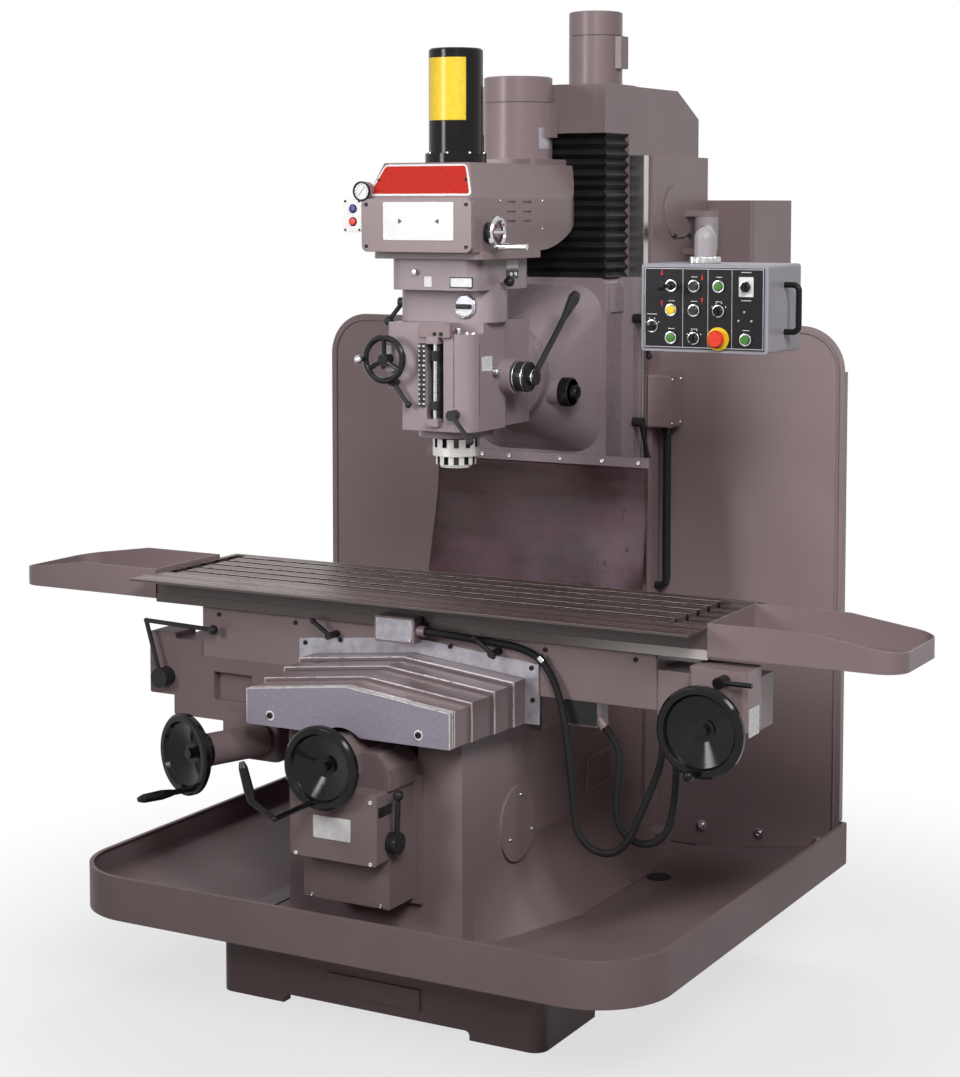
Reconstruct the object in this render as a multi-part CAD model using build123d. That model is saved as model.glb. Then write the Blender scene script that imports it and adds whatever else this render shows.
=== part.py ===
from build123d import *
import os
from math import cos, radians, sin, tan

# Bed mill with a swivelling quill head, in millimetres.
# The origin is on the floor at the middle of the foundation holes.
# X runs to the operator's right, Y to the column, Z up.

# Clearances
slide_gap = 0.2
turn_gap = 0.3
fit_gap = 0.05
soft_gap = 0.4

# Base casting
base_half_width = 458
base_half_length = 785
base_height = 200
base_wall = 30
base_corner = 36
notch_height = 22
notch_half_width = 265
notch_corner = 12
side_notch_length = 1000
foundation_inset = 70
foundation_radius = 11
foot_pad = 120
drain_radius = 23
drain_x = 396
drain_y = -100
inspection_half_width = 130
inspection_low = 48
inspection_high = 100
cover_plate = 5

# Chip pan
pan_half_width = 800
pan_front = -1000
pan_back = 350
pan_skirt_rise = 13
pan_depth = 110
pan_sheet = 3
pan_corner = 190
pan_back_corner = 14
pan_floor_rise = 58
pan_flange = 60
pan_opening_half_width = 365
pan_rim = 8

# Bed
bed_half_width = 245
bed_front = -785
bed_height = 520
bed_foot_spread = 110
bed_foot_height = 210
bed_foot_start = 60
bed_foot_run = 370
bed_way_width = 120
bed_trough_depth = 165
oval_cover_length = 180
oval_cover_height = 190
oval_cover_y = -508
oval_cover_below_way = 263

# Column
column_half_width = 245
column_front = 220
column_depth = 460
column_height = 1917
column_corner = 30
column_foot = 40
column_foot_height = 45
way_strip_width = 42
way_strip_depth = 28
way_recess = 6
groove_half_width = 95
groove_depth = 85
groove_rise = 40
hatch_length = 190
hatch_height = 150

# Vertical screw
z_screw_radius = 20
z_screw_set_back = 42
z_screw_entry = 40

# Top housing and vertical-feed motor
top_half_width = 200
top_overhang = 150
top_height = 187
top_lip_rise = 57
top_length = 620
top_slope = 150
top_slope_drop = 75
z_motor_radius = 75.5
z_motor_height = 220
z_motor_set_back = 200
motor_flange_height = 16
motor_flange_lip = 12
cowl_height = 70
cowl_groove = 3
terminal_width = 46
terminal_height = 90
terminal_reach = 30

# Electrical cabinet
cabinet_half_width = 375
cabinet_depth = 310
cabinet_height = 1046
cabinet_drop = 121
cabinet_door = 22
cabinet_door_margin = 18
cabinet_corner = 10

# Splash guards
guard_sheet = 3
guard_right = 780
guard_left = -835
guard_height = 1460
guard_corner = 120
guard_fold = 24
guard_pan_gap = 1

# Cross feed
y_screw_x = -14
y_screw_below_way = 48
y_screw_radius = 16
y_screw_length = 900
y_box_half_width = 120
y_box_reach = 181
y_box_top_below_way = 104
y_box_height = 171
y_sump_reach = 125
y_sump_height = 116
y_box_corner = 8
y_flange_half_width = 140
y_flange_thickness = 14
bearing_block_radius = 66
bearing_bracket_half_width = 140
bearing_bracket_low = 20
bearing_bracket_corner = 34
bearing_bracket_set_back = 22
bearing_block_reach = 155
y_lever_reach = 120
y_lever_below_way = 229
y_lever_arm = 118

# Handwheels
wheel_radius = 100
rim_width = 24
rim_depth = 22
web_thickness = 7
hub_radius = 26
hub_length = 26
hub_nose_radius = 13
right_wheel_radius = 106
dish_depth = 20
dial_radius = 45
dial_length = 24
grip_radius = 12
grip_length = 95
handle_rod_radius = 7
y_handle_reach = 150
y_handle_bend = 62

# Saddle
saddle_half_width = 655
saddle_front = -580
saddle_length = 380
saddle_height = 215
saddle_body_depth = 135
saddle_edge = 6
slab_set_back = 160
slab_length = 420
keeper_width = 24
keeper_drop = 46
nut_half_width = 38
nut_length = 80
nut_set_back = 280
x_nut_half_length = 45
table_lock_x = 234
table_lock_drop = 36
lock_hub_radius = 9
table_lock_arm = 58
front_box_x = -28
front_box_width = 115
front_box_height = 65
front_box_depth = 35
front_box_stand = 25
front_box_drop = 30
side_box_x = 455
side_box_width = 90
side_box_height = 60
side_box_depth = 60

# Telescopic way cover
cover_overhang = 125
cover_half_width = 283
cover_skirt_rise = 10
cover_shoulder_rise = 96
cover_ridge_rise = 129
cover_step = 8
cover_sheet = 2
cover_lip = 3
cover_lip_gap = 0.5
cover_fixed_length = 170
cover_plate_thickness = 4
cover_notch_radius = 78
leaf_steps = (90, 96, 81)
leaf_lengths = (176, 161, 143)
hood_flange = 30
hood_thickness = 6
tunnel_gap = 2

# Left drive
apron_overhang = 93
apron_thickness = 180
apron_depth = 166
apron_horn_rise = 38
window_width = 120
window_height = 75
window_depth = 20
window_inset = 130
left_box_x = -375
left_box_half_width = 85
left_box_reach = 190
left_box_height = 112
left_box_drop = 88
left_spindle_radius = 40
left_bearing_length = 170
left_wheel_turn = 20
left_wheel_x = -397
left_wheel_reach = 381
left_wheel_drop = 279
feed_box_width = 78
feed_box_height = 166
feed_box_drop = 83
feed_box_depth = 90
x_lever_inset = 22
x_lever_drop = 117
x_lever_rise = 150
x_lever_side = 45
x_lever_arm = 172
x_lever_stand = 30

# Right gearbox
right_box_gap = 110
right_box_width = 143
right_box_reach = 70
right_box_depth = 100
right_box_drop = 8
right_box_height = 140
right_box_corner = 12
right_arm_inset = 5
right_arm_depth = 120
right_arm_drop = 165
right_arm_height = 125
right_wheel_inset = 72
right_wheel_drop = 133
right_boss_radius = 45
right_boss_length = 36
clutch_lever_inset = 52
clutch_lever_arm = 78
clutch_lever_drop = 22
clutch_lever_stand = 28

# Table and trays
table_half_length = 790
table_overhang = 15
table_depth = 365
table_thickness = 78
table_apron_depth = 115
table_apron_thickness = 6
table_strip_height = 23
table_strip_thickness = 3
slot_count = 5
slot_pitch = 63.5
slot_width = 18
slot_neck_depth = 18
slot_foot_width = 30
slot_foot_depth = 12
slot_left_margin = 50
slot_right_margin = 104
end_trough_depth = 14
end_trough_margin = 18
screw_channel_half_width = 24
screw_channel_height = 44
x_screw_radius = 14
x_screw_rise = 22
tray_length = 464
tray_set_forward = 5
tray_depth = 290
tray_lift = 9
tray_height = 78
tray_tip_drop = 32
tray_slope_length = 220
tray_sheet = 3
tray_corner = 60

# Carriage
swivel_z = 1544
carriage_half_width = 205
carriage_keeper_half_width = 238
carriage_depth = 150
carriage_drop = 257
carriage_rise = 244
carriage_keeper_depth = 50
carriage_corner = 24
neck_length = 216
neck_half_width = 190
neck_half_height = 226
neck_corner = 80
swivel_radius = 137
swivel_flange = 18
z_nut_half_width = 60
z_nut_height = 140
worm_boss_radius = 34
worm_boss_set_back = 58
worm_boss_drop = 50
worm_boss_end = 186
bracket_plate_height = 92
bracket_plate_thickness = 5
apron_bar_half_width = 340
apron_bar_height = 26
apron_bar_depth = 16
carriage_lock_inset = 46
carriage_lock_rise = 133
carriage_lock_drop = 148
carriage_lock_arm = 118
carriage_lock_lean = 27
carriage_lock_stand = 30

# Bellows and apron sheet
bellows_depth = 140
bellows_half_width = 200
bellows_folds = 14
bellows_fold_depth = 14
apron_sheet = 3
apron_sheet_left = -300
apron_sheet_right = 335
apron_sheet_length = 347

# Quill head
spindle_reach = 234
head_reach = 134
head_cut_width = 39
head_cut_depth = 69
head_corner = 40
head_step_x = 45
head_step_depth = 64
head_step_height = 26
head_half_width = 118
head_drop = 124
head_height = 270
head_shoulder = 44
head_neck_half_width = 95
head_neck_length = 173
head_flange = 16
collar_radius = 95
collar_height = 22
quill_radius = 46
nose_ring_radius = 59.5
nose_ring_height = 66
nose_ring_gap = 6
nose_band_height = 22
nose_lower_radius = 52
nose_teeth = 12
nose_tooth_depth = 12
nose_tooth_width = 13
spindle_radius = 22
spindle_body_radius = 32
spindle_clearance = 2
spindle_nose_radius = 40
spindle_nose_drop = 8
spindle_above_head = 380
taper_large_radius = 22.225
taper_small_radius = 10.5
taper_depth = 80
stop_rod_x = 15
stop_rod_radius = 9
stop_bracket_half_width = 16
stop_rod_inset = 4
channel_left = -8
channel_right = 40
channel_low = 22
channel_height = 206
channel_depth = 22
scale_x = -18.5
scale_width = 19
scale_thickness = 6
scale_low = 61
scale_height = 159
gear_lower_half_width = 136
gear_lower_reach = 64
gear_lower_height = 81
gear_upper_half_width = 128
gear_upper_reach = 120
gear_upper_height = 78
gear_corner = 36
gear_lower_depth = 114
gear_upper_depth = 290
belt_lip = 18
belt_lip_overhang = 8
belt_half_width = 150
belt_reach = 186
belt_back_gap = 12
belt_height = 238
belt_shoulder_drop = 87
belt_crown_half_width = 122
belt_back_corner = 95
belt_tail_length = 258
belt_tail_rise = 120
belt_tail_sag = 26
belt_crown_lean = 40
belt_lip_set_back = 40
belt_cover_half_width = 156
belt_cover_height = 131
belt_cover_thickness = 14
belt_cover_corner = 16
louver_columns = 2
louver_rows = 3
louver_pitch = 24
louver_column_pitch = 85
louver_set_back = 181
louver_rise = 86
louver_length = 46
louver_height = 9
louver_depth = 4
drawbar_radius = 68.5
drawbar_flange_radius = 78
drawbar_flange_height = 25
drawbar_height = 262
drawbar_wall = 4
spindle_motor_radius = 90.5
spindle_motor_back = 104
spindle_motor_height = 232

# Head controls
feed_wheel_x = -107
feed_wheel_above_head = 179
feed_wheel_radius = 62
feed_rim_radius = 8
feed_spoke_radius = 6
feed_boss_radius = 34
feed_boss_length = 16
feed_case_overhang = 16
feed_case_depth = 74
feed_case_corner = 10
trip_x = -95
trip_above_head = 120
trip_arm = 70
trip_hub_length = 28
quill_lock_x = 74
quill_lock_above_head = 44
quill_lock_arm = 92
quill_lever_set_back = 45
quill_lever_above_head = 131
quill_drum_radius = 38
quill_drum_length = 38
quill_boss_end = 150
quill_boss_radius = 44
quill_cap_radius = 20
quill_cap_length = 20
quill_grip_length = 90
quill_lever_arm = 312
quill_lever_lean = 50
crank_set_back = 81
crank_above_belt = 66
crank_radius = 42
crank_ring_radius = 8
crank_stand = 26
crank_handle = 82
brake_above_gear = 44
brake_arm = 78
range_knob_rise = 8
knob_radius = 13
lever_rod_radius = 6
corner_ball = 1.1
dial_knob_x = 64
dial_knob_radius = 26
air_box_width = 52
air_box_height = 82
air_box_depth = 26
gauge_radius = 24

# Pendant
arm_pivot_stand = 55
arm_pivot_set_back = 300
arm_drop_from_top = 212
arm_tube_radius = 24
arm_hub_radius = 34
arm_hub_height = 90
arm_pin_radius = 14
arm_lug = 16
arm_reach_x = 400
arm_reach_y = 940
drop_radius = 26
drop_length = 60
box_width = 320
box_depth = 210
box_height = 206
box_pipe_inset_x = 129
box_pipe_inset_y = 80
box_corner = 8
box_collar_height = 16
box_collar_wall = 9
panel_thickness = 4
panel_margin = 8
handle_reach = 36
handle_height = 110
handle_radius = 7
bezel_radius = 14
bezel_height = 4
cap_radius = 10
cap_height = 9
button_travel = 4
button_depth = 22
column_inset = (79, 137, 199, 267)
row_drop = (51, 108, 173)
stop_cap_radius = 21
stop_cap_height = 16
stop_ring_radius = 27
joystick_length = 62
pointer_length = 24

# Column wiring
column_box_set_back = 70
column_box_half_depth = 40
column_box_reach = 65
column_box_height = 145
column_box_drop = 597
column_box_corner = 6
column_conduit_radius = 10
column_conduit_length = 445

# Hanging conduits on the saddle
conduit_radius = 9.5
gland_radius = 14
gland_length = 22
loop_gland_inset = 9
branch_gland_inset = 35
clip_run_count = 5

# Levels and places that follow from the sizes above
way_z = base_height + bed_height
saddle_top = way_z + saddle_height
saddle_low = saddle_top - saddle_body_depth
saddle_back = saddle_front + saddle_length
slab_front = saddle_front + slab_set_back
slab_back = slab_front + slab_length
table_bottom = saddle_top + slide_gap
table_top = table_bottom + table_thickness
table_front = saddle_front - table_overhang
table_back = table_front + table_depth
table_y = (table_front + table_back) / 2
column_top = base_height + column_height
column_back = column_front + column_depth
top_front = column_front - top_overhang
top_lip_z = column_top + top_lip_rise
top_z = column_top + top_height
z_screw_y = column_front + z_screw_set_back
guard_y = pan_back - pan_sheet - pan_rim - guard_sheet - guard_pan_gap
y_screw_z = way_z - y_screw_below_way
y_box_top = way_z - y_box_top_below_way
y_box_low = y_box_top - y_box_height
y_sump_low = y_box_low - y_sump_height
bearing_front = bed_front - bearing_block_reach
y_wheel_y = bearing_front - turn_gap - dial_length
cover_front = bed_front - cover_overhang
leaf_fronts = [cover_front + sum(leaf_steps[: k + 1]) for k in range(len(leaf_steps))]
hood_step = len(leaf_steps) + 1
carriage_front = column_front - carriage_depth
carriage_back = column_front - slide_gap
carriage_low = swivel_z - carriage_drop
carriage_high = swivel_z + carriage_rise
swivel_y = carriage_front - neck_length
spindle_y = swivel_y - spindle_reach
head_front = spindle_y - head_reach
head_low = swivel_z - head_drop
head_high = head_low + head_height
gear_split = head_high + gear_lower_height
belt_low = gear_split + gear_upper_height
belt_front = spindle_y - belt_reach
belt_back = carriage_front - belt_back_gap
belt_top = belt_low + belt_height
spindle_motor_y = belt_back - spindle_motor_back
arm_pivot_x = column_half_width + arm_pivot_stand
arm_pivot_y = column_front + arm_pivot_set_back
arm_z = column_top - arm_drop_from_top
drop_x = arm_pivot_x + arm_reach_x
drop_y = arm_pivot_y - arm_reach_y
box_top = arm_z - drop_length
box_low = box_top - box_height
box_left = drop_x - box_pipe_inset_x
box_right = box_left + box_width
box_front = drop_y - box_pipe_inset_y
box_back = box_front + box_depth
panel_columns = [box_left + inset for inset in column_inset]
panel_rows = [box_top - drop for drop in row_drop]


# Shapes used by several pieces
def block(x, y, z):
    """Box between three (low, high) pairs."""
    pairs = (x, y, z)
    middle = [(low + high) / 2 for low, high in pairs]
    return Pos(*middle) * Box(*[high - low for low, high in pairs])


def rounded(solid, axis, radius):
    """The solid with its edges along an axis rounded."""
    return fillet(solid.edges().filter_by(axis), radius)


def along_x(points, x):
    """Prism of a (Y, Z) outline between two X places."""
    outline = make_face(Polyline(*[(x[0], y, z) for y, z in points], close=True))
    return extrude(outline, x[1] - x[0], dir=(1, 0, 0))


def along_y(points, y):
    """Prism of an (X, Z) outline between two Y places."""
    outline = make_face(Polyline(*[(x, y[0], z) for x, z in points], close=True))
    return extrude(outline, y[1] - y[0], dir=(0, 1, 0))


def along_z(sketch, z):
    """Prism of a plan sketch between two heights."""
    return Pos(0, 0, z[0]) * extrude(sketch, z[1] - z[0])


def rod(start, end, radius):
    """Round bar between two points."""
    run = Vector(*end) - Vector(*start)
    bar = Cylinder(radius, run.length, align=(Align.CENTER, Align.CENTER, Align.MIN))
    return Plane(origin=start, z_dir=run) * bar


def ball(centre, radius):
    """Ball knob."""
    return Pos(*centre) * Sphere(radius)


def turned(*profile):
    """Solid of revolution about Z from (radius, height) points."""
    outline = make_face(Polyline(*[(r, 0, h) for r, h in profile], close=True))
    return revolve(outline, Axis.Z)


def rim(middle, radius, height):
    """Hand rim about Z with an eight-sided section."""
    corners = [radians(45 * k + 22.5) for k in range(8)]
    return turned(*[(middle + radius * cos(a), height + radius * sin(a)) for a in corners])


def ring(outer, inner, z):
    """Tube about Z between two heights."""
    return turned((inner, z[0]), (outer, z[0]), (outer, z[1]), (inner, z[1]))


def tub(half_width, front, back, front_radius, back_radius):
    """Plan outline with large front corners and small back corners."""
    outline = Pos(0, (front + back) / 2) * Rectangle(2 * half_width, back - front)
    outline = fillet(outline.vertices().group_by(Axis.Y)[0], front_radius)
    return fillet(outline.vertices().group_by(Axis.Y)[-1], back_radius)


def handwheel(radius):
    """Dished wheel and dial about Z, with the dial behind the hub and the rim in front."""
    inner = radius - rim_width
    edge = rim_depth / 4
    rim_front = dish_depth + rim_depth
    web = web_thickness
    wheel = turned(
        (0, 0),
        (hub_radius, 0),
        (hub_radius, web),
        (inner, dish_depth + edge),
        (inner + edge, dish_depth),
        (radius - edge, dish_depth),
        (radius, dish_depth + edge),
        (radius, rim_front - edge),
        (radius - edge, rim_front),
        (inner + edge, rim_front),
        (inner, dish_depth + edge + web),
        (hub_radius, 2 * web),
        (hub_nose_radius, 2 * web),
        (hub_nose_radius, hub_length),
        (0, hub_length),
    )
    dial = turned(
        (0, -dial_length),
        (dial_radius, -dial_length),
        (dial_radius, -dial_length / 2),
        (dial_radius * 0.82, 0),
        (0, 0),
    )
    return wheel + dial


def grip(start, direction):
    """Turned hand grip that begins at a point of its stem."""
    body = turned(
        (0, 0),
        (grip_radius * 0.7, 0),
        (grip_radius, grip_length * 0.3),
        (grip_radius * 0.9, grip_length * 0.85),
        (grip_radius * 0.5, grip_length),
        (0, grip_length),
    )
    return Plane(origin=start, z_dir=direction) * body


# Standing pieces
def base_casting():
    """Hollow casting on four feet, with foundation holes and a drain to its tank."""
    half_length = base_half_length
    outer = block((-base_half_width, base_half_width), (-half_length, half_length), (0, base_height))
    outer = rounded(outer, Axis.Z, base_corner)
    inside_x = base_half_width - base_wall
    inside_y = (base_wall - half_length, half_length - base_wall)
    hollow = block((-inside_x, inside_x), inside_y, (0, base_height - base_wall))
    feet_x = base_half_width - foundation_inset
    feet_y = half_length - foundation_inset
    feet = [(x, y) for x in (-feet_x, feet_x) for y in (-feet_y, feet_y)]
    for x, y in feet:
        half = foot_pad / 2
        hollow -= block((x - half, x + half), (y - half, y + half), (0, base_height))
    casting = outer - hollow
    front_notch = block(
        (-notch_half_width, notch_half_width),
        (-half_length - base_wall, half_length + base_wall),
        (-notch_height, notch_height),
    )
    casting -= rounded(front_notch, Axis.Y, notch_corner)
    side_notch = block(
        (-base_half_width - base_wall, base_half_width + base_wall),
        (-side_notch_length / 2, side_notch_length / 2),
        (-notch_height, notch_height),
    )
    casting -= rounded(side_notch, Axis.X, notch_corner)
    for x, y in feet:
        casting -= rod((x, y, -1), (x, y, base_height + 1), foundation_radius)
    for x in (-drain_x, drain_x):
        casting -= rod(
            (x, drain_y, base_height - 2 * base_wall),
            (x, drain_y, base_height + 1),
            drain_radius,
        )
    cover = block(
        (-inspection_half_width, inspection_half_width),
        (-half_length - cover_plate, 1 - half_length),
        (inspection_low, inspection_high),
    )
    return casting + cover


def chip_pan():
    """Sheet pan: upright wall with a folded rim, and a floor that falls to a bolted flange on the base."""
    bottom = base_height + pan_skirt_rise
    top = bottom + pan_depth
    outside = tub(pan_half_width, pan_front, pan_back, pan_corner, pan_back_corner)
    inside = tub(
        pan_half_width - pan_sheet,
        pan_front + pan_sheet,
        pan_back - pan_sheet,
        pan_corner - pan_sheet,
        pan_back_corner - pan_sheet,
    )
    rim_set = pan_sheet + pan_rim
    rim_inside = tub(
        pan_half_width - rim_set,
        pan_front + rim_set,
        pan_back - rim_set,
        pan_corner - rim_set,
        pan_back_corner - rim_set,
    )
    wall = along_z(outside - inside, (bottom, top))
    rim = along_z(inside - rim_inside, (top - pan_sheet, top))
    seat_x = pan_opening_half_width + pan_flange
    opening_front = bed_front - pan_sheet
    seat = tub(seat_x, opening_front - pan_flange, pan_back - pan_sheet, pan_flange / 2, pan_sheet)
    floor_edge = base_height + pan_floor_rise
    funnel = loft([Pos(0, 0, base_height) * seat, Pos(0, 0, floor_edge) * inside])
    floor = funnel + along_z(inside, (floor_edge, floor_edge + pan_sheet))
    floor -= Pos(0, 0, pan_sheet) * floor
    pan = wall + rim + floor
    opening_x = pan_opening_half_width
    pan -= block((-opening_x, opening_x), (opening_front, pan_back - rim_set), (0, floor_edge))
    behind = column_half_width + column_foot + turn_gap
    return pan - block((-behind, behind), (column_front - column_foot, pan_back + 1), (0, top + 1))


def bed_section(y, spread):
    """Cross-section of the bed, whose foot spreads on a hollow curve."""
    half = bed_half_width
    foot = half + spread
    waist = base_height + bed_foot_height
    middle = (half + spread / 4, base_height + bed_foot_height / 3)
    lines = Polyline((half, waist), (half, way_z), (-half, way_z), (-half, waist))
    lines += ThreePointArc((-half, waist), (-middle[0], middle[1]), (-foot, base_height))
    lines += Line((-foot, base_height), (foot, base_height))
    lines += ThreePointArc((foot, base_height), middle, (half, waist))
    return Plane(origin=(0, y, 0), x_dir=(1, 0, 0), z_dir=(0, -1, 0)) * make_face(lines)


def bed():
    """Bed with two flat ways, a trough for the cross screw, a spreading foot and a side cover."""
    foot_start = bed_front + bed_foot_start
    casting = block(
        (-bed_half_width, bed_half_width),
        (bed_front, foot_start + 1),
        (base_height, way_z),
    )
    casting += loft(
        [
            bed_section(foot_start, 1),
            bed_section(foot_start + bed_foot_run, bed_foot_spread),
            bed_section(column_front, bed_foot_spread),
        ],
        ruled=True,
    )
    trough_x = bed_half_width - bed_way_width
    trough = (bed_front - 1, column_front - bed_way_width)
    casting -= block((-trough_x, trough_x), trough, (way_z - bed_trough_depth, way_z + 1))
    oval = Rectangle(oval_cover_length, oval_cover_height)
    oval = extrude(fillet(oval.vertices(), oval_cover_length / 2 - 1), cover_plate)
    place = (bed_half_width, oval_cover_y, way_z - oval_cover_below_way)
    return casting + Plane(origin=place, x_dir=(0, 1, 0), z_dir=(1, 0, 0)) * oval


def column():
    """Column with two bright ways, a groove for the screw, a foot flange and the pendant's lugs."""
    half = column_half_width
    casting = block((-half, half), (column_front, column_back), (base_height, column_top))
    back_edges = casting.edges().filter_by(Axis.Z).group_by(Axis.Y)[-1]
    casting = fillet(back_edges, column_corner)
    foot_x = half + column_foot
    foot = block(
        (-foot_x, foot_x),
        (column_front, column_back + column_foot),
        (base_height, base_height + column_foot_height),
    )
    casting += foot
    face_x = half - way_strip_width
    face_low = way_z + groove_rise
    casting -= block(
        (-face_x, face_x),
        (column_front - 1, column_front + way_recess),
        (face_low, column_top + 1),
    )
    casting -= block(
        (-groove_half_width, groove_half_width),
        (column_front - 1, column_front + groove_depth),
        (face_low, column_top + 1),
    )
    for side in (-1, 1):
        relief = sorted((side * half, side * (half - way_recess)))
        relief_y = (column_front + way_strip_depth, column_front + 2 * way_strip_depth)
        casting -= block(relief, relief_y, (face_low, column_top + 1))
    hatch = Rectangle(hatch_length, hatch_height)
    hatch = extrude(fillet(hatch.vertices(), hatch_height / 2 - 1), cover_plate)
    hatch_place = (half, column_front + column_depth / 2, column_top - hatch_height)
    casting += Plane(origin=hatch_place, x_dir=(0, 1, 0), z_dir=(1, 0, 0)) * hatch
    hub_end = arm_hub_height / 2 + turn_gap
    for side in (-1, 1):
        lug_z = sorted((arm_z + side * hub_end, arm_z + side * (hub_end + arm_lug)))
        lug = block(
            (half - 1, arm_pivot_x),
            (arm_pivot_y - arm_hub_radius, arm_pivot_y + arm_hub_radius),
            lug_z,
        )
        lug += Pos(arm_pivot_x, arm_pivot_y) * ring(arm_hub_radius, 0, lug_z)
        casting += lug
    pin = (arm_pivot_x, arm_pivot_y, arm_z - hub_end)
    return casting + rod(pin, (pin[0], pin[1], arm_z + hub_end), arm_pin_radius)


def top_housing():
    """Cast housing on the column that carries the vertical motor and closes the bellows."""
    back = top_front + top_length
    outline = (
        (top_front, top_lip_z),
        (top_front, top_z),
        (back - top_slope, top_z),
        (back, top_z - top_slope_drop),
        (back, column_top),
        (column_front, column_top),
        (column_front, top_lip_z),
    )
    housing = along_x(outline, (-top_half_width, top_half_width))
    bore = rod(
        (0, z_screw_y, column_top - 1),
        (0, z_screw_y, column_top + z_screw_entry + turn_gap),
        z_screw_radius + fit_gap,
    )
    return housing - bore


def motor(radius, height, foot_half_width):
    """Flange motor about Z with a fan cowl and a terminal box on its right."""
    cowl = height - cowl_height
    body = turned(
        (0, 0),
        (radius, 0),
        (radius, cowl),
        (radius - cowl_groove, cowl),
        (radius - cowl_groove, cowl + cowl_groove),
        (radius, cowl + cowl_groove),
        (radius, height - cowl_groove),
        (radius - 2 * cowl_groove, height),
        (0, height),
    )
    foot = RectangleRounded(2 * foot_half_width, 2 * foot_half_width, motor_flange_lip)
    body += extrude(foot, motor_flange_height)
    terminal = block(
        (radius - terminal_reach, radius + terminal_reach / 2),
        (-terminal_width / 2, terminal_width / 2),
        (cowl - terminal_height, cowl),
    )
    return body + terminal


def z_motor():
    """Vertical-feed motor on the top housing."""
    place = Pos(0, column_front + z_motor_set_back, top_z)
    return place * motor(z_motor_radius, z_motor_height, z_motor_radius + motor_flange_lip)


def z_screw():
    """Vertical screw that hangs in the column groove from the top housing."""
    low = way_z + groove_rise + z_screw_entry
    return rod((0, z_screw_y, low), (0, z_screw_y, column_top + z_screw_entry), z_screw_radius)


def electrical_cabinet():
    """Cabinet on the back of the column, with a raised door on its back."""
    high = column_top - cabinet_drop
    low = high - cabinet_height
    back = column_back + cabinet_depth
    half = cabinet_half_width
    case = rounded(block((-half, half), (column_back, back), (low, high)), Axis.Z, cabinet_corner)
    door_x = half - cabinet_door_margin
    door = block(
        (-door_x, door_x),
        (back - 1, back + cabinet_door),
        (low + cabinet_door_margin, high - cabinet_door_margin),
    )
    return case + rounded(door, Axis.Y, cabinet_corner)


def splash_guard(outer, side):
    """Sheet guard from the column to its outer edge, folded back along the column and the outside."""
    pan_inside = pan_half_width - pan_sheet
    floor_low = base_height + pan_sheet + guard_pan_gap
    floor_high = floor_low + pan_floor_rise
    seat = pan_opening_half_width + pan_flange
    inner = column_half_width + column_foot + turn_gap
    wall_top = base_height + pan_skirt_rise + pan_depth + guard_pan_gap
    top = base_height + guard_height
    foot = min(outer, pan_inside - pan_rim - guard_pan_gap)
    slope = (floor_high - floor_low) / (pan_inside - seat)
    foot_z = floor_low + slope * (foot - seat)
    column_edge = column_half_width
    clear_foot = base_height + column_foot_height + guard_pan_gap
    outline = [
        (inner, floor_low),
        (seat, floor_low),
        (foot, foot_z),
        (foot, wall_top),
        (outer, wall_top),
        (outer, top),
        (column_edge, top),
        (column_edge, clear_foot),
        (inner, clear_foot),
    ]
    if outer <= foot:
        del outline[3:5]
        outline[3] = (outer, top)
    sheet = along_y([(side * x, z) for x, z in outline], (guard_y, guard_y + guard_sheet))
    corner = [e for e in sheet.edges().filter_by(Axis.Y) if abs(e.center().Z - top) < 1]
    corner = [e for e in corner if abs(abs(e.center().X) - outer) < 1]
    sheet = fillet(corner, guard_corner)
    fold_x = sorted((side * column_edge, side * (column_edge + guard_sheet)))
    fold = block(fold_x, (guard_y, guard_y + guard_fold), (clear_foot, top))
    edge_x = sorted((side * outer, side * (outer - guard_sheet)))
    edge = block(edge_x, (guard_y, guard_y + guard_fold), (wall_top, top - guard_corner))
    return sheet + fold + edge


def splash_guards():
    """Right and left guards, two separate sheets."""
    return Compound([splash_guard(guard_right, 1), splash_guard(-guard_left, -1)])


# Cross feed
def y_gearbox():
    """Cross-feed gearbox on the bed front: flange, case, sump, bearing bracket and its block."""
    half = y_box_half_width
    case = block((-half, half), (bed_front - y_box_reach, bed_front), (y_box_low, y_box_top))
    case = rounded(case, Axis.Y, y_box_corner)
    sump = block(
        (-half, half),
        (bed_front - y_sump_reach, bed_front),
        (y_sump_low, y_box_low + y_box_corner),
    )
    flange = block(
        (-y_flange_half_width, y_flange_half_width),
        (bed_front - y_flange_thickness, bed_front),
        (y_sump_low - y_flange_thickness, y_box_top + y_flange_thickness),
    )
    seat = Plane(origin=(y_screw_x, bed_front, y_screw_z), x_dir=(1, 0, 0), z_dir=(0, -1, 0))
    bearing = seat * extrude(
        RegularPolygon(bearing_block_radius, 8, rotation=22.5),
        bearing_block_reach,
    )
    bracket = block(
        (y_screw_x - bearing_bracket_half_width, y_screw_x + bearing_bracket_half_width),
        (bearing_front + bearing_bracket_set_back, bed_front),
        (y_box_top - 1, way_z - bearing_bracket_low),
    )
    upper = bracket.edges().filter_by(Axis.Y).group_by(Axis.Z)[-1]
    bearing += chamfer(upper, bearing_bracket_corner)
    start = (y_screw_x, bearing_front - 1, y_screw_z)
    bore = rod(start, (y_screw_x, bed_front + 1, y_screw_z), y_screw_radius + fit_gap)
    return case + sump + flange + bearing - bore


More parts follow.
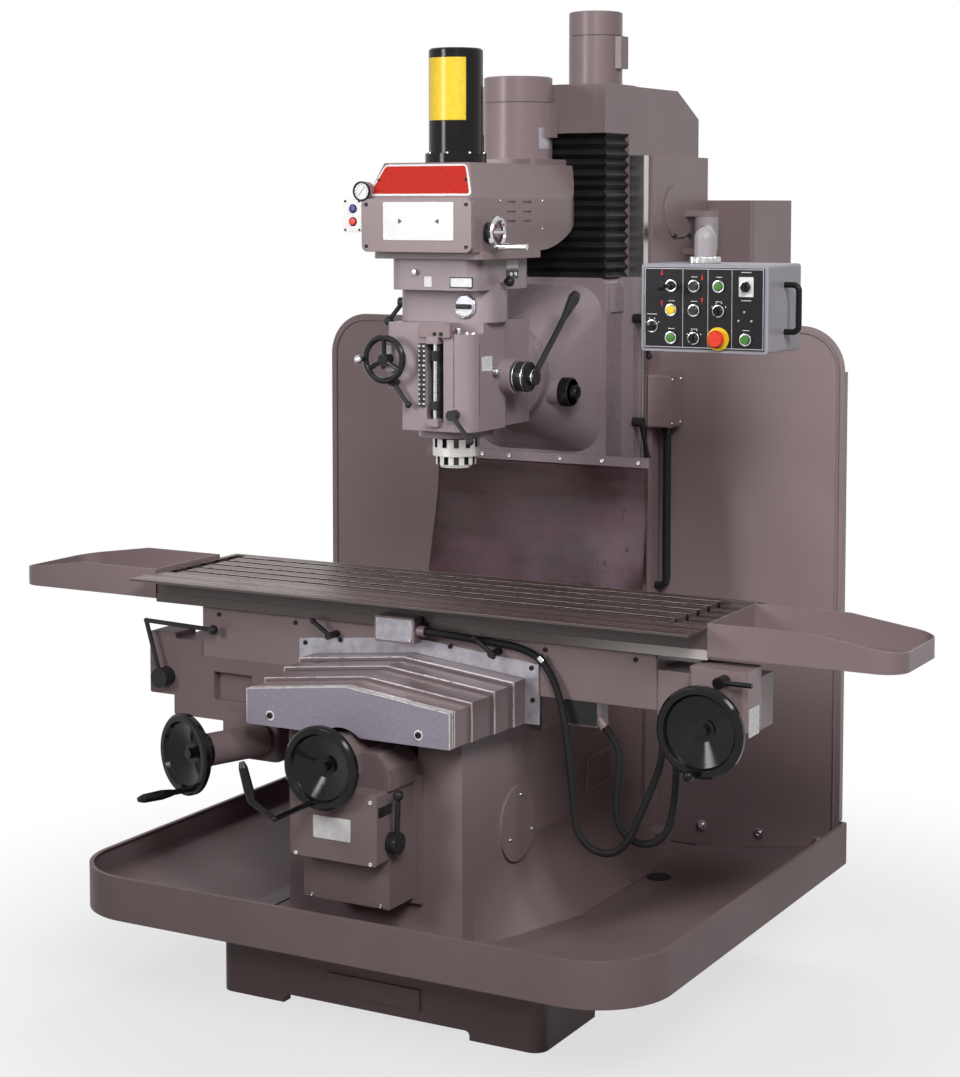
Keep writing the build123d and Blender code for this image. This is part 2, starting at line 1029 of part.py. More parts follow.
def y_wheel():
    """Cross handwheel with its dial and a cranked handle."""
    wheel = handwheel(wheel_radius)
    reach = wheel_radius - rim_width / 2
    front = dish_depth + rim_depth
    foot = (reach * cos(radians(255)), reach * sin(radians(255)), front - 2)
    knee = (foot[0], foot[1], front + y_handle_reach)
    elbow = (knee[0] - y_handle_bend, knee[1] + y_handle_bend / 2, knee[2])
    wheel += rod(foot, knee, handle_rod_radius) + ball(knee, corner_ball * handle_rod_radius)
    wheel += rod(knee, elbow, handle_rod_radius) + ball(elbow, corner_ball * handle_rod_radius)
    wheel += grip(elbow, (-0.3, 1, 0))
    return Plane(origin=(y_screw_x, y_wheel_y, y_screw_z), x_dir=(1, 0, 0), z_dir=(0, -1, 0)) * wheel


def y_screw():
    """Cross screw from the wheel's hub through the bearing block into the bed."""
    start = (y_screw_x, y_wheel_y + dial_length, y_screw_z)
    return rod(start, (y_screw_x, start[1] + y_screw_length, y_screw_z), y_screw_radius)


def lever(hub, axis, hub_radius, hub_length, arm, knob, rod_radius):
    """Hub along an axis, with an arm from its outer end to a ball knob."""
    outward = Vector(*axis).normalized()
    end = Vector(*hub) + outward * hub_length
    root = Vector(*hub) + outward * (hub_length - 1.5 * rod_radius)
    tip = root + Vector(*arm)
    arm_rod = rod(tuple(root), tuple(tip), rod_radius)
    arm_ball = Plane(origin=tip, z_dir=tip - root) * Sphere(knob)
    return rod(hub, tuple(end), hub_radius) + (arm_rod + arm_ball)


def y_feed_lever():
    """Cross-feed lever on the right of its gearbox."""
    hub = (y_box_half_width + turn_gap, bed_front - y_lever_reach, way_z - y_lever_below_way)
    arm = (y_lever_arm * 0.1, -y_lever_arm * 0.1, y_lever_arm)
    return lever(hub, (1, 0, 0), 2 * knob_radius, 2 * knob_radius, arm, knob_radius, lever_rod_radius)


# Telescopic way cover
def gable(step, grow, y, low):
    """Roof-shaped prism of one cover step, grown outward by a margin."""
    out = step * cover_step + grow
    half = cover_half_width + out
    shoulder = way_z + cover_shoulder_rise + out
    ridge = way_z + cover_ridge_rise + out
    return along_y([(-half, low), (-half, shoulder), (0, ridge), (half, shoulder), (half, low)], y)


def cover_shell(step, front, length):
    """Open sheet roof of one step."""
    low = way_z + cover_skirt_rise
    y = (front, front + length)
    return gable(step, 0, y, low) - gable(step, -cover_sheet, y, low - 1)


def cover_front_plate():
    """Fixed end of the cover: bright front plate, its roof and the frame that stands on the ways."""
    low = way_z + cover_skirt_rise
    plate = gable(0, 0, (cover_front, cover_front + cover_plate_thickness), low)
    centre = (y_screw_x, cover_front - 1, y_screw_z)
    behind = (y_screw_x, cover_front + cover_plate_thickness + 1, y_screw_z)
    plate -= rod(centre, behind, cover_notch_radius)
    frame_y = (bed_front + cover_lip, bed_front + 4 * cover_lip)
    frame = gable(0, -cover_sheet, frame_y, way_z)
    trough_x = bed_half_width - bed_way_width
    frame -= block(
        (-trough_x, trough_x),
        (bed_front, slab_front),
        (way_z - 1, way_z + cover_shoulder_rise / 2),
    )
    return plate + cover_shell(0, cover_front, cover_fixed_length) + frame


def cover_leaf(step):
    """One sliding leaf, with a lip that closes on the next smaller one."""
    front = leaf_fronts[step - 1]
    low = way_z + cover_skirt_rise
    lip_y = (front, front + cover_lip)
    lip = gable(step, 0, lip_y, low) - gable(step - 1, cover_lip_gap, lip_y, low - 1)
    return lip + cover_shell(step, front, leaf_lengths[step - 1])


def cover_hood():
    """Bright flange on the saddle around the mouth of its tunnel."""
    low = way_z + cover_skirt_rise
    y = (saddle_front - hood_thickness, saddle_front)
    return gable(hood_step, hood_flange, y, low) - gable(hood_step - 1, cover_lip_gap, y, low - 1)


# Saddle and what it carries
def saddle():
    """Saddle on the bed ways, with a tunnel for the cover leaves, keepers, nuts and junction boxes."""
    half = saddle_half_width
    body = block((-half, half), (saddle_front, saddle_back), (saddle_low, saddle_top))
    body = rounded(body, Axis.Z, saddle_edge)
    slab_x = bed_half_width + keeper_width
    body += block(
        (-slab_x, slab_x),
        (slab_front, slab_back),
        (way_z + slide_gap, saddle_low + saddle_edge),
    )
    for side in (-1, 1):
        keeper_x = sorted((side * (bed_half_width + slide_gap), side * slab_x))
        keeper_z = (way_z - keeper_drop, way_z + saddle_edge)
        body += block(keeper_x, (slab_front, slab_back), keeper_z)
    body -= gable(hood_step - 1, tunnel_gap, (saddle_front - 1, slab_front), way_z - 1)
    nut_y = (saddle_front + nut_set_back, saddle_front + nut_set_back + nut_length)
    body += block(
        (y_screw_x - nut_half_width, y_screw_x + nut_half_width),
        nut_y,
        (y_screw_z - nut_half_width, way_z + saddle_edge),
    )
    y_bore = [(y_screw_x, y, y_screw_z) for y in (nut_y[0] - 1, nut_y[1] + 1)]
    body -= rod(*y_bore, y_screw_radius + fit_gap)
    x_screw_z = table_bottom + x_screw_rise
    nut_side = screw_channel_half_width - saddle_edge
    body += block(
        (-x_nut_half_length, x_nut_half_length),
        (table_y - nut_side, table_y + nut_side),
        (saddle_top - saddle_edge, x_screw_z + nut_side),
    )
    x_bore = [(x, table_y, x_screw_z) for x in (-x_nut_half_length - 1, x_nut_half_length + 1)]
    body -= rod(*x_bore, x_screw_radius + fit_gap)
    return body + front_box() + side_box() + conduit_clip()


def front_box():
    """Junction box that stands off the saddle's front on a bracket, with its gland."""
    back = saddle_front - front_box_stand
    low = saddle_top - front_box_drop
    side = front_box_width / 2
    box = block(
        (front_box_x - side, front_box_x + side),
        (back - front_box_depth, back),
        (low, low + front_box_height),
    )
    box = rounded(box, Axis.Y, saddle_edge)
    bracket_x = (front_box_x - side / 2, front_box_x + side / 2)
    bracket = block(bracket_x, (back, saddle_front), (low + saddle_edge, saddle_top - 1))
    start = loop_route()[0]
    return box + bracket + rod((start[0] - gland_length, start[1], start[2]), start, gland_radius)


def side_box():
    """Junction box under the saddle's right skirt, with its gland."""
    side = side_box_width / 2
    low = saddle_low - side_box_height
    box = block(
        (side_box_x - side, side_box_x + side),
        (saddle_front, saddle_front + side_box_depth),
        (low, saddle_low + saddle_edge),
    )
    x, y, z = branch_route()[0]
    return box + rod((x - gland_length, y, z + gland_length), (x, y, z), gland_radius)


def conduit_clip():
    """Clip block behind the loop on the saddle's front."""
    x, y, z = loop_route()[clip_run_count]
    half = gland_radius / 2
    return block(
        (x - half, x + half),
        (y + conduit_radius + turn_gap, saddle_front),
        (z - half, z + half),
    )


def loop_route():
    """Hand-picked route of the long conduit, from the front box's gland to the right gearbox."""
    x = front_box_x + front_box_width / 2 + gland_length
    y = saddle_front
    z = saddle_top
    gland_y = y - front_box_stand - front_box_depth / 2
    end_x = saddle_half_width + loop_gland_inset
    return [
        (x, gland_y, z + 2),
        (x + 46, gland_y, z + 2),
        (x + 100, y - 27, z - 6),
        (x + 160, y - 13, z - 13),
        (x + 240, y - 11, z - 17),
        (x + 306, y - 13, z - 40),
        (x + 350, y - 19, z - 100),
        (x + 376, y - 26, z - 185),
        (x + 391, y - 30, z - 285),
        (x + 400, y - 30, z - 380),
        (x + 408, y - 30, z - 445),
        (x + 450, y - 30, z - 487),
        (end_x - 103.5, y - 30, z - 487),
        (end_x - 61.5, y - 30, z - 445),
        (end_x - 41.5, y - 20, z - 388),
        (end_x - 17.5, y - 2, z - 318),
        (end_x, y + 20, z - 252),
        (end_x, y + 20, right_gland_z()),
    ]


def branch_route():
    """Hand-picked route of the short conduit, from the side box's gland to the right gearbox."""
    x = side_box_x + side_box_width / 2
    y = saddle_front
    z = saddle_low - side_box_height
    end_x = saddle_half_width + branch_gland_inset
    return [
        (x + 12, y + 20, z - 2),
        (x + 49, y + 20, z - 39),
        (x + 51, y + 18, z - 100),
        (x + 46, y + 14, z - 165),
        (x + 48, y + 8, z - 225),
        (x + 89, y + 2, z - 266),
        (end_x - 44, y + 4, z - 266),
        (end_x - 3, y + 12, z - 225),
        (end_x + 3, y + 26, z - 142),
        (end_x, y + 40, z - 64),
        (end_x, y + 40, right_gland_z()),
    ]


def right_gland_z():
    """Level of the glands' faces under the right gearbox's arm."""
    return saddle_top - right_arm_drop - gland_length


def conduit(route):
    """Tube along straight runs joined by arcs as large as the runs allow."""
    points = [Vector(*p) for p in route]
    radii = []
    for before, here, after in zip(points, points[1:], points[2:]):
        turn = radians((here - before).get_angle(after - here))
        shorter = min((here - before).length, (after - here).length)
        radii.append(0.45 * shorter / tan(turn / 2))
    path = FilletPolyline(*points, radius=radii)
    start = Plane(origin=points[0], z_dir=points[1] - points[0])
    return sweep(start * Circle(conduit_radius), path=path)


def conduit_loop():
    """Long hanging conduit."""
    return conduit(loop_route())


def conduit_branch():
    """Short hanging conduit."""
    return conduit(branch_route())


def x_drive_left():
    """Left drive: apron under the saddle with a window, lever box, and the turned bearing of its wheel."""
    left = -saddle_half_width - apron_overhang
    right = -cover_half_width - hood_step * cover_step
    low = saddle_low - apron_depth
    y = (saddle_front, saddle_front + apron_thickness)
    apron = rounded(block((left, right), y, (low, saddle_low)), Axis.Y, saddle_edge)
    apron += block(
        (left, -saddle_half_width),
        y,
        (saddle_low - saddle_edge, saddle_low + apron_horn_rise),
    )
    window_x = left + window_inset
    window_z = saddle_low - apron_horn_rise
    apron -= block(
        (window_x, window_x + window_width),
        (saddle_front - 1, saddle_front + window_depth),
        (window_z - window_height, window_z),
    )
    feed_high = saddle_top - feed_box_drop
    feed_box = block(
        (left - feed_box_width, left + saddle_edge),
        (saddle_front, saddle_front + feed_box_depth),
        (feed_high - feed_box_height, feed_high),
    )
    apron += rounded(feed_box, Axis.Y, saddle_edge)
    box_z = saddle_low - left_box_drop
    case = block(
        (left_box_x - left_box_half_width, left_box_x + left_box_half_width),
        (saddle_front - left_box_reach, saddle_front + saddle_edge),
        (box_z - left_box_height, box_z),
    )
    apron += rounded(case, Axis.Z, right_box_corner)
    seat = left_wheel_seat()
    inward = seat.z_dir * -1
    start = seat.origin + seat.z_dir * -(dial_length + turn_gap)
    inside = start + inward * left_bearing_length
    return apron + rod(tuple(start), tuple(inside), left_spindle_radius)


def left_wheel_seat():
    """Plane of the left wheel's hub, turned outward."""
    turn = radians(left_wheel_turn)
    outward = (-sin(turn), -cos(turn), 0)
    place = (left_wheel_x, saddle_front - left_wheel_reach, saddle_top - left_wheel_drop)
    return Plane(origin=place, x_dir=(cos(turn), -sin(turn), 0), z_dir=outward)


def x_wheel_left():
    """Left longitudinal handwheel with a straight handle."""
    wheel = handwheel(wheel_radius)
    foot = (0, rim_width / 2 - wheel_radius, dish_depth + rim_depth - 2)
    knee = (0, foot[1], foot[2] + grip_length / 3)
    wheel += rod(foot, knee, handle_rod_radius) + grip(knee, (0, 0, 1))
    return left_wheel_seat() * wheel


def right_wheel_seat():
    """Plane of the right wheel's hub."""
    front = saddle_front - right_box_reach - right_boss_length - turn_gap - dial_length
    place = (
        saddle_half_width + right_box_gap + right_box_width - right_wheel_inset,
        front,
        saddle_top - right_wheel_drop,
    )
    return Plane(origin=place, x_dir=(1, 0, 0), z_dir=(0, -1, 0))


def x_wheel_right():
    """Right longitudinal handwheel with a knob."""
    wheel = handwheel(right_wheel_radius)
    foot = (-knob_radius, rim_width / 2 - right_wheel_radius, dish_depth + rim_depth - 2)
    knob = (foot[0], foot[1], foot[2] + 2 * knob_radius)
    wheel += rod(foot, knob, handle_rod_radius) + ball(knob, knob_radius)
    return right_wheel_seat() * wheel


def x_gearbox_right():
    """Right gearbox on an arm from the saddle's end, with its bearing boss, clutch lever and two glands."""
    left = saddle_half_width + right_box_gap
    right = left + right_box_width
    high = saddle_top - right_box_drop
    front = saddle_front - right_box_reach
    case = block((left, right), (front, front + right_box_depth), (high - right_box_height, high))
    case = rounded(case, Axis.Z, right_box_corner)
    arm_front = saddle_front + right_arm_inset
    arm_low = right_gland_z() + gland_length
    case += block(
        (saddle_half_width, right - right_box_corner),
        (arm_front, arm_front + right_arm_depth),
        (arm_low, arm_low + right_arm_height),
    )
    seat = right_wheel_seat()
    boss_front = seat.origin + seat.z_dir * -(dial_length + turn_gap)
    boss_back = boss_front + Vector(0, right_boss_length + right_box_corner, 0)
    case += rod(tuple(boss_front), tuple(boss_back), right_boss_radius)
    lever_x = right - clutch_lever_inset
    lever_z = high - clutch_lever_drop
    pivot = (lever_x, front - clutch_lever_stand, lever_z)
    tip = (lever_x + clutch_lever_arm, pivot[1], lever_z)
    case += rod((lever_x, front + 1, lever_z), (lever_x, pivot[1] - gland_radius, lever_z), gland_radius)
    case += rod(pivot, tip, lever_rod_radius)
    for route in (loop_route(), branch_route()):
        x, y = route[-1][:2]
        case += rod((x, y, right_gland_z()), (x, y, arm_low + 1), gland_radius)
    return case


def x_feed_lever():
    """Longitudinal feed lever: hub, upright rod and a cross rod to its ball."""
    x = -saddle_half_width - apron_overhang - x_lever_inset
    z = saddle_top - feed_box_drop - x_lever_drop
    y = saddle_front - x_lever_stand
    body = rod((x, saddle_front - turn_gap, z), (x, y - 1.5 * lever_rod_radius, z), 2 * knob_radius)
    corner = (x - x_lever_side, y, z + x_lever_rise)
    tip = (x + x_lever_arm, y, corner[2] - lever_rod_radius)
    body += rod((x, y, z), corner, lever_rod_radius) + ball(corner, corner_ball * lever_rod_radius)
    return body + rod(corner, tip, lever_rod_radius) + ball(tip, knob_radius)


def table_lock(side):
    """Clamp lever on the saddle's front."""
    hub = (side * table_lock_x, saddle_front - turn_gap, saddle_top - table_lock_drop)
    arm = (-table_lock_arm * 0.8, -table_lock_arm * 0.1, table_lock_arm * 0.6)
    return lever(
        hub,
        (0, -1, 0),
        lock_hub_radius,
        5 * lock_hub_radius,
        arm,
        1.3 * lever_rod_radius,
        lever_rod_radius,
    )


# Table
def table():
    """T-slotted table with end troughs, a front plate, a way strip and a channel for its screw."""
    half = table_half_length
    body = block((-half, half), (table_front, table_back), (table_bottom, table_top))
    body += block(
        (-half, half),
        (table_front - table_apron_depth, table_front + 1),
        (table_top - table_apron_thickness, table_top),
    )
    body += block(
        (-half, half),
        (table_front - table_strip_thickness, table_front + 1),
        (table_bottom + slide_gap, table_bottom + table_strip_height),
    )
    left = -half + slot_left_margin
    right = half - slot_right_margin
    neck_low = table_top - slot_neck_depth
    for index in range(slot_count):
        y = table_y + (index - (slot_count - 1) / 2) * slot_pitch
        neck = block(
            (left, right),
            (y - slot_width / 2, y + slot_width / 2),
            (neck_low - 1, table_top + 1),
        )
        foot = block(
            (left, right),
            (y - slot_foot_width / 2, y + slot_foot_width / 2),
            (neck_low - slot_foot_depth, neck_low),
        )
        body -= neck + foot
    trough_y = (table_front + end_trough_margin, table_back - end_trough_margin)
    for trough_x in ((-half + end_trough_margin, left), (right, half - end_trough_margin)):
        body -= block(trough_x, trough_y, (table_top - end_trough_depth, table_top + 1))
    channel_x = half - slot_left_margin / 2
    side = screw_channel_half_width
    body -= block(
        (-channel_x, channel_x),
        (table_y - side, table_y + side),
        (table_bottom - 1, table_bottom + screw_channel_height),
    )
    screw_z = table_bottom + x_screw_rise
    ends = half - slot_left_margin / 4
    return body - rod((-ends, table_y, screw_z), (ends, table_y, screw_z), x_screw_radius + fit_gap)


def x_screw():
    """Longitudinal screw, held in the table's ends."""
    ends = table_half_length - slot_left_margin / 4 - turn_gap
    z = table_bottom + x_screw_rise
    return rod((-ends, table_y, z), (ends, table_y, z), x_screw_radius)


def chip_tray():
    """Sheet tray on the table's right end, with rounded outer corners and walls that fall to the tip."""
    low = table_bottom + tray_lift
    high = low + tray_height
    front = table_front - tray_set_forward
    tip = table_half_length + tray_length
    middle = Pos((table_half_length + tip) / 2, front + tray_depth / 2)
    shape = middle * Rectangle(tray_length, tray_depth)
    shape = fillet(shape.vertices().group_by(Axis.X)[-1], tray_corner)
    inner = middle * Rectangle(tray_length - 2 * tray_sheet, tray_depth - 2 * tray_sheet)
    inner = fillet(inner.vertices().group_by(Axis.X)[-1], tray_corner - tray_sheet)
    tray = along_z(shape, (low, high)) - along_z(inner, (low + tray_sheet, high + 1))
    slope = [(tip - tray_slope_length, high), (tip + 1, high - tray_tip_drop), (tip + 1, high + 1)]
    return tray - along_y(
        [*slope, (tip - tray_slope_length, high + 1)],
        (front - 1, front + tray_depth + 1),
    )


def chip_trays():
    """Right and left trays, two separate sheets."""
    tray = chip_tray()
    return Compound([tray, mirror(tray, about=Plane.YZ)])


# Vertical slide
def carriage():
    """Carriage on the column ways: keepers, screw nut, lofted neck, swivel flange and apron bar."""
    wide = carriage_keeper_half_width
    keeper_y = (carriage_back - carriage_keeper_depth, carriage_back)
    body = block((-wide, wide), keeper_y, (carriage_low, carriage_high))
    half = carriage_half_width
    front = block((-half, half), (carriage_front, carriage_back), (carriage_low, carriage_high))
    body += rounded(front, Axis.Y, carriage_corner)
    root = Plane(origin=(0, carriage_front, swivel_z), x_dir=(1, 0, 0), z_dir=(0, -1, 0))
    tip = root.offset(neck_length - swivel_flange)
    square = RectangleRounded(2 * neck_half_width, 2 * neck_half_height, neck_corner)
    end = 2 * swivel_radius * 0.96
    disc = RectangleRounded(end, end, end / 2 - 1)
    body += loft([root.offset(-1) * square, tip * disc])
    body += rod((0, swivel_y + swivel_flange, swivel_z), (0, swivel_y, swivel_z), swivel_radius)
    worm_y = swivel_y + worm_boss_set_back
    worm_z = swivel_z - worm_boss_drop
    body += rod((0, worm_y, worm_z), (worm_boss_end, worm_y, worm_z), worm_boss_radius)
    nut = block(
        (-z_nut_half_width, z_nut_half_width),
        (carriage_back - 1, z_screw_y + z_screw_radius + z_screw_set_back / 2),
        (swivel_z - z_nut_height / 2, swivel_z + z_nut_height / 2),
    )
    body += nut
    bore = [(0, z_screw_y, swivel_z + side * z_nut_height) for side in (-1, 1)]
    body -= rod(*bore, z_screw_radius + fit_gap)
    body += block(
        (half - 1, half + bracket_plate_thickness),
        (carriage_front + carriage_corner, carriage_back - carriage_keeper_depth + 1),
        (carriage_high - bracket_plate_height, carriage_high - carriage_corner),
    )
    bar_y = (carriage_front - apron_bar_depth, carriage_front + 1)
    bar_x = apron_bar_half_width
    return body + block((-bar_x, bar_x), bar_y, (carriage_low, carriage_low + apron_bar_height))


def carriage_lock(z):
    """Clamp lever on the carriage's right side."""
    hub = (carriage_keeper_half_width + turn_gap, carriage_back - carriage_lock_inset, z)
    lean = radians(carriage_lock_lean)
    arm = (0, carriage_lock_arm * sin(lean), -carriage_lock_arm * cos(lean))
    return lever(
        hub,
        (1, 0, 0),
        knob_radius,
        carriage_lock_stand,
        arm,
        1.5 * lever_rod_radius,
        lever_rod_radius,
    )


def bellows():
    """Folded way cover between the carriage and the top housing."""
    low = carriage_high + soft_gap
    high = top_lip_z - soft_gap
    pitch = (high - low) / bellows_folds
    back = column_front - slide_gap - soft_gap
    front = back - bellows_depth
    valley = bellows_fold_depth
    edge = []
    for fold in range(bellows_folds):
        edge += [(valley, low + fold * pitch), (0, low + (fold + 0.5) * pitch)]
    edge.append((valley, high))
    half = bellows_half_width
    sides = [(half - inset, z) for inset, z in edge] + [(inset - half, z) for inset, z in reversed(edge)]
    face = [(front + inset, z) for inset, z in edge] + [(back, high), (back, low)]
    return along_y(sides, (front, back)) & along_x(face, (-half, half))


def apron():
    """Hanging apron sheet under the carriage."""
    y = (carriage_front - apron_bar_depth, carriage_front - apron_bar_depth + apron_sheet)
    top = carriage_low - soft_gap
    return block((apron_sheet_left, apron_sheet_right), y, (top - apron_sheet_length, top))


# Quill head
def head_casting():
    """Quill housing on the swivel flange, with a feed case, bosses, a depth scale and its stop rod."""
    neck_y = swivel_y - head_flange - head_neck_length
    back = swivel_y - head_flange + 1
    plan = Polyline(
        (head_half_width, head_front),
        (head_half_width, neck_y),
        (head_neck_half_width, neck_y + head_shoulder),
        (head_neck_half_width, back),
        (-head_neck_half_width, back),
        (-head_neck_half_width, neck_y + head_shoulder),
        (-head_half_width, neck_y),
        (-head_half_width, head_front + head_cut_depth),
        (head_cut_width - head_half_width, head_front),
        close=True,
    )
    body = along_z(make_face(plan), (head_low, head_high))
    corner = body.edges().filter_by(Axis.Z).group_by(Axis.Y)[0].sort_by(Axis.X)[-1]
    body = fillet(corner, head_corner)
    body -= block(
        (head_step_x, head_half_width + 1),
        (head_front - 1, head_front + head_step_depth),
        (head_high - head_step_height, head_high + 1),
    )
    body += rod(
        (0, swivel_y - head_flange, swivel_z),
        (0, swivel_y - turn_gap, swivel_z),
        swivel_radius,
    )
    body += Pos(0, spindle_y) * ring(collar_radius, 0, (head_low - collar_height, head_low + 1))
    feed_z = head_low + feed_wheel_above_head
    case = block(
        (feed_wheel_x - feed_case_overhang, 0),
        (head_front, head_front + feed_case_depth),
        (head_low + trip_above_head - 2 * lock_hub_radius, head_high),
    )
    body += rounded(case, Axis.Z, feed_case_corner)
    feed_start = (feed_wheel_x, head_front + feed_case_depth, feed_z)
    body += rod(feed_start, (feed_wheel_x, head_front - feed_boss_length, feed_z), feed_boss_radius)
    drum_y = spindle_y + quill_lever_set_back
    drum_z = head_low + quill_lever_above_head
    body += rod((0, drum_y, drum_z), (quill_boss_end, drum_y, drum_z), quill_boss_radius)
    body += block(
        (scale_x - scale_width / 2, scale_x + scale_width / 2),
        (head_front - scale_thickness, head_front + 1),
        (head_low + scale_low, head_low + scale_low + scale_height),
    )
    floor = head_front + channel_depth
    low = head_low + channel_low
    high = low + channel_height
    body -= block((channel_left, channel_right), (head_front - 1, floor), (low, high))
    stop_y = head_front + stop_rod_inset
    for z in (low, high):
        body += block(
            (stop_rod_x - stop_bracket_half_width, stop_rod_x + stop_bracket_half_width),
            (stop_y - 2 * stop_rod_radius, floor + 1),
            (z - stop_rod_radius, z + stop_rod_radius),
        )
    body += rod((stop_rod_x, stop_y, low), (stop_rod_x, stop_y, high), stop_rod_radius * 0.7)
    top = head_high + 1
    bottom = head_low - collar_height - 1
    return body - rod((0, spindle_y, bottom), (0, spindle_y, top), quill_radius + fit_gap)


def gear_housing():
    """Two-step gear housing with range knobs and a speed dial."""
    front = spindle_y - gear_lower_reach
    lower = Pos(0, front + gear_lower_depth / 2)
    lower *= RectangleRounded(2 * gear_lower_half_width, gear_lower_depth, gear_corner)
    body = along_z(lower, (head_high, gear_split))
    upper = Pos(0, spindle_y - gear_upper_reach + gear_upper_depth / 2)
    upper *= RectangleRounded(2 * gear_upper_half_width, gear_upper_depth, gear_corner)
    body += along_z(upper, (gear_split, belt_low))
    knob_z = gear_split + knob_radius + range_knob_rise
    for side in (-1, 1):
        stem = (side * (gear_upper_half_width - 1), spindle_y, knob_z)
        knob = (side * (gear_upper_half_width + 2 * knob_radius), spindle_y, knob_z)
        body += rod(stem, knob, lever_rod_radius) + ball(knob, knob_radius)
    dial_z = (head_high + gear_split) / 2
    body += rod(
        (dial_knob_x, front + 1, dial_z),
        (dial_knob_x, front - lever_rod_radius, dial_z),
        dial_knob_radius,
    )
    body += block(
        (dial_knob_x - dial_knob_radius * 0.7, dial_knob_x + dial_knob_radius * 0.7),
        (front - 3 * lever_rod_radius, front),
        (dial_z - lever_rod_radius, dial_z + lever_rod_radius),
    )
    start = (0, spindle_y, head_high - 1)
    return body - rod(start, (0, spindle_y, belt_low + 1), spindle_radius + spindle_clearance)


def belt_housing():
    """Belt housing: lip, tapered case with louvers, front cover, air box and gauge."""
    half = belt_half_width
    case_low = belt_low + belt_lip
    shoulder = belt_top - belt_shoulder_drop
    plan = along_z(
        tub(half, belt_front, belt_back, belt_cover_corner, belt_back_corner),
        (case_low, belt_top),
    )
    face = [(-half, case_low), (-half, shoulder), (-belt_crown_half_width, belt_top)]
    face += [(-x, z) for x, z in reversed(face)]
    body = plan & along_y(face, (belt_front, belt_back))
    side = half + 1
    lean = [(belt_front, shoulder), (belt_front + belt_crown_lean, belt_top)]
    lean += [(belt_front + belt_crown_lean, belt_top + 1), (belt_front - 1, belt_top + 1)]
    body -= along_x(lean + [(belt_front - 1, shoulder)], (-side, side))
    foot_y = belt_back - belt_tail_length
    tail_z = case_low + belt_tail_rise
    foot = (-side, foot_y, case_low)
    tail = (-side, belt_back + 1, tail_z)
    belly_y = (belt_back + foot_y) / 2 + belt_tail_sag / 2
    belly = (-side, belly_y, (case_low + tail_z) / 2 - belt_tail_sag)
    under = Polyline(
        foot,
        (-side, foot_y, case_low - 1),
        (-side, belt_back + 1, case_low - 1),
        tail,
    )
    under += ThreePointArc(tail, belly, foot)
    body -= extrude(make_face(under), 2 * side, dir=(1, 0, 0))
    lip_front = belt_front + belt_lip_set_back
    lip_back = foot_y - belt_lip_overhang
    lip = tub(half + belt_lip_overhang, lip_front, lip_back, belt_cover_corner, belt_cover_corner)
    body += along_z(lip, (belt_low, case_low + 1))
    cover = block(
        (-belt_cover_half_width, belt_cover_half_width),
        (belt_front - belt_cover_thickness, belt_front + 1),
        (case_low, case_low + belt_cover_height),
    )
    body += rounded(cover, Axis.Y, belt_cover_corner)
    for column in range(louver_columns):
        for row in range(louver_rows):
            y = belt_front + louver_set_back + column * louver_column_pitch
            z = belt_low + louver_rise + row * louver_pitch
            body -= block(
                (half - louver_depth, half + 1),
                (y, y + louver_length),
                (z, z + louver_height),
            )
    air_x = -belt_cover_half_width - air_box_width
    air_y = belt_front - belt_cover_thickness
    air_low = case_low + belt_cover_height / 2 - air_box_height / 2 + gauge_radius
    body += block(
        (air_x, -half + 1),
        (air_y, air_y + air_box_depth),
        (air_low, air_low + air_box_height),
    )
    gauge_z = air_low + air_box_height + 0.8 * gauge_radius
    gauge = (air_x + air_box_width, air_y + air_box_depth / 2, gauge_z)
    stem = (gauge[0], gauge[1], air_low + 1)
    body += rod((gauge[0], air_y + 1, gauge_z), (gauge[0], air_y + air_box_depth - 1, gauge_z), gauge_radius)
    body += rod(stem, gauge, lever_rod_radius)
    start = (0, spindle_y, belt_low - 1)
    return body - rod(start, (0, spindle_y, belt_top + 1), spindle_radius + spindle_clearance)


def spindle_motor():
    """Spindle motor on the belt housing."""
    foot = belt_back - spindle_motor_y - motor_flange_lip / 2
    return Pos(0, spindle_motor_y, belt_top) * motor(spindle_motor_radius, spindle_motor_height, foot)


def drawbar_cover():
    """Tubular drawbar cover with a flange and a closed top."""
    inner = drawbar_radius - drawbar_wall
    high = drawbar_flange_height + drawbar_height
    shell = turned(
        (inner, 0),
        (drawbar_flange_radius, 0),
        (drawbar_flange_radius, drawbar_flange_height),
        (drawbar_radius, drawbar_flange_height),
        (drawbar_radius, high - drawbar_wall),
        (inner, high),
        (0, high),
        (0, high - drawbar_wall),
        (inner, high - drawbar_wall),
    )
    return Pos(0, spindle_y, belt_top) * shell


def quill():
    """Quill with its castellated nose ring."""
    high = head_low - collar_height - nose_ring_gap
    low = high - nose_ring_height
    band = (
        low + nose_ring_height / 2 - nose_band_height / 2,
        low + nose_ring_height / 2 + nose_band_height / 2,
    )
    body = turned(
        (0, low),
        (nose_lower_radius, low),
        (nose_lower_radius, band[0]),
        (nose_ring_radius, band[0]),
        (nose_ring_radius, high),
        (quill_radius, high),
        (quill_radius, head_high - turn_gap),
        (0, head_high - turn_gap),
    )
    gaps = ((low - 1, band[0], nose_lower_radius), (band[1], high + 1, nose_ring_radius))
    for tooth in range(nose_teeth):
        for start, end, radius in gaps:
            gap = block(
                (radius - nose_tooth_depth, nose_ring_radius + 1),
                (-nose_tooth_width / 2, nose_tooth_width / 2),
                (start, end),
            )
            body -= Rot(0, 0, tooth * 360 / nose_teeth) * gap
    body -= rod((0, 0, low - 1), (0, 0, head_high), spindle_body_radius + fit_gap)
    return Pos(0, spindle_y) * body


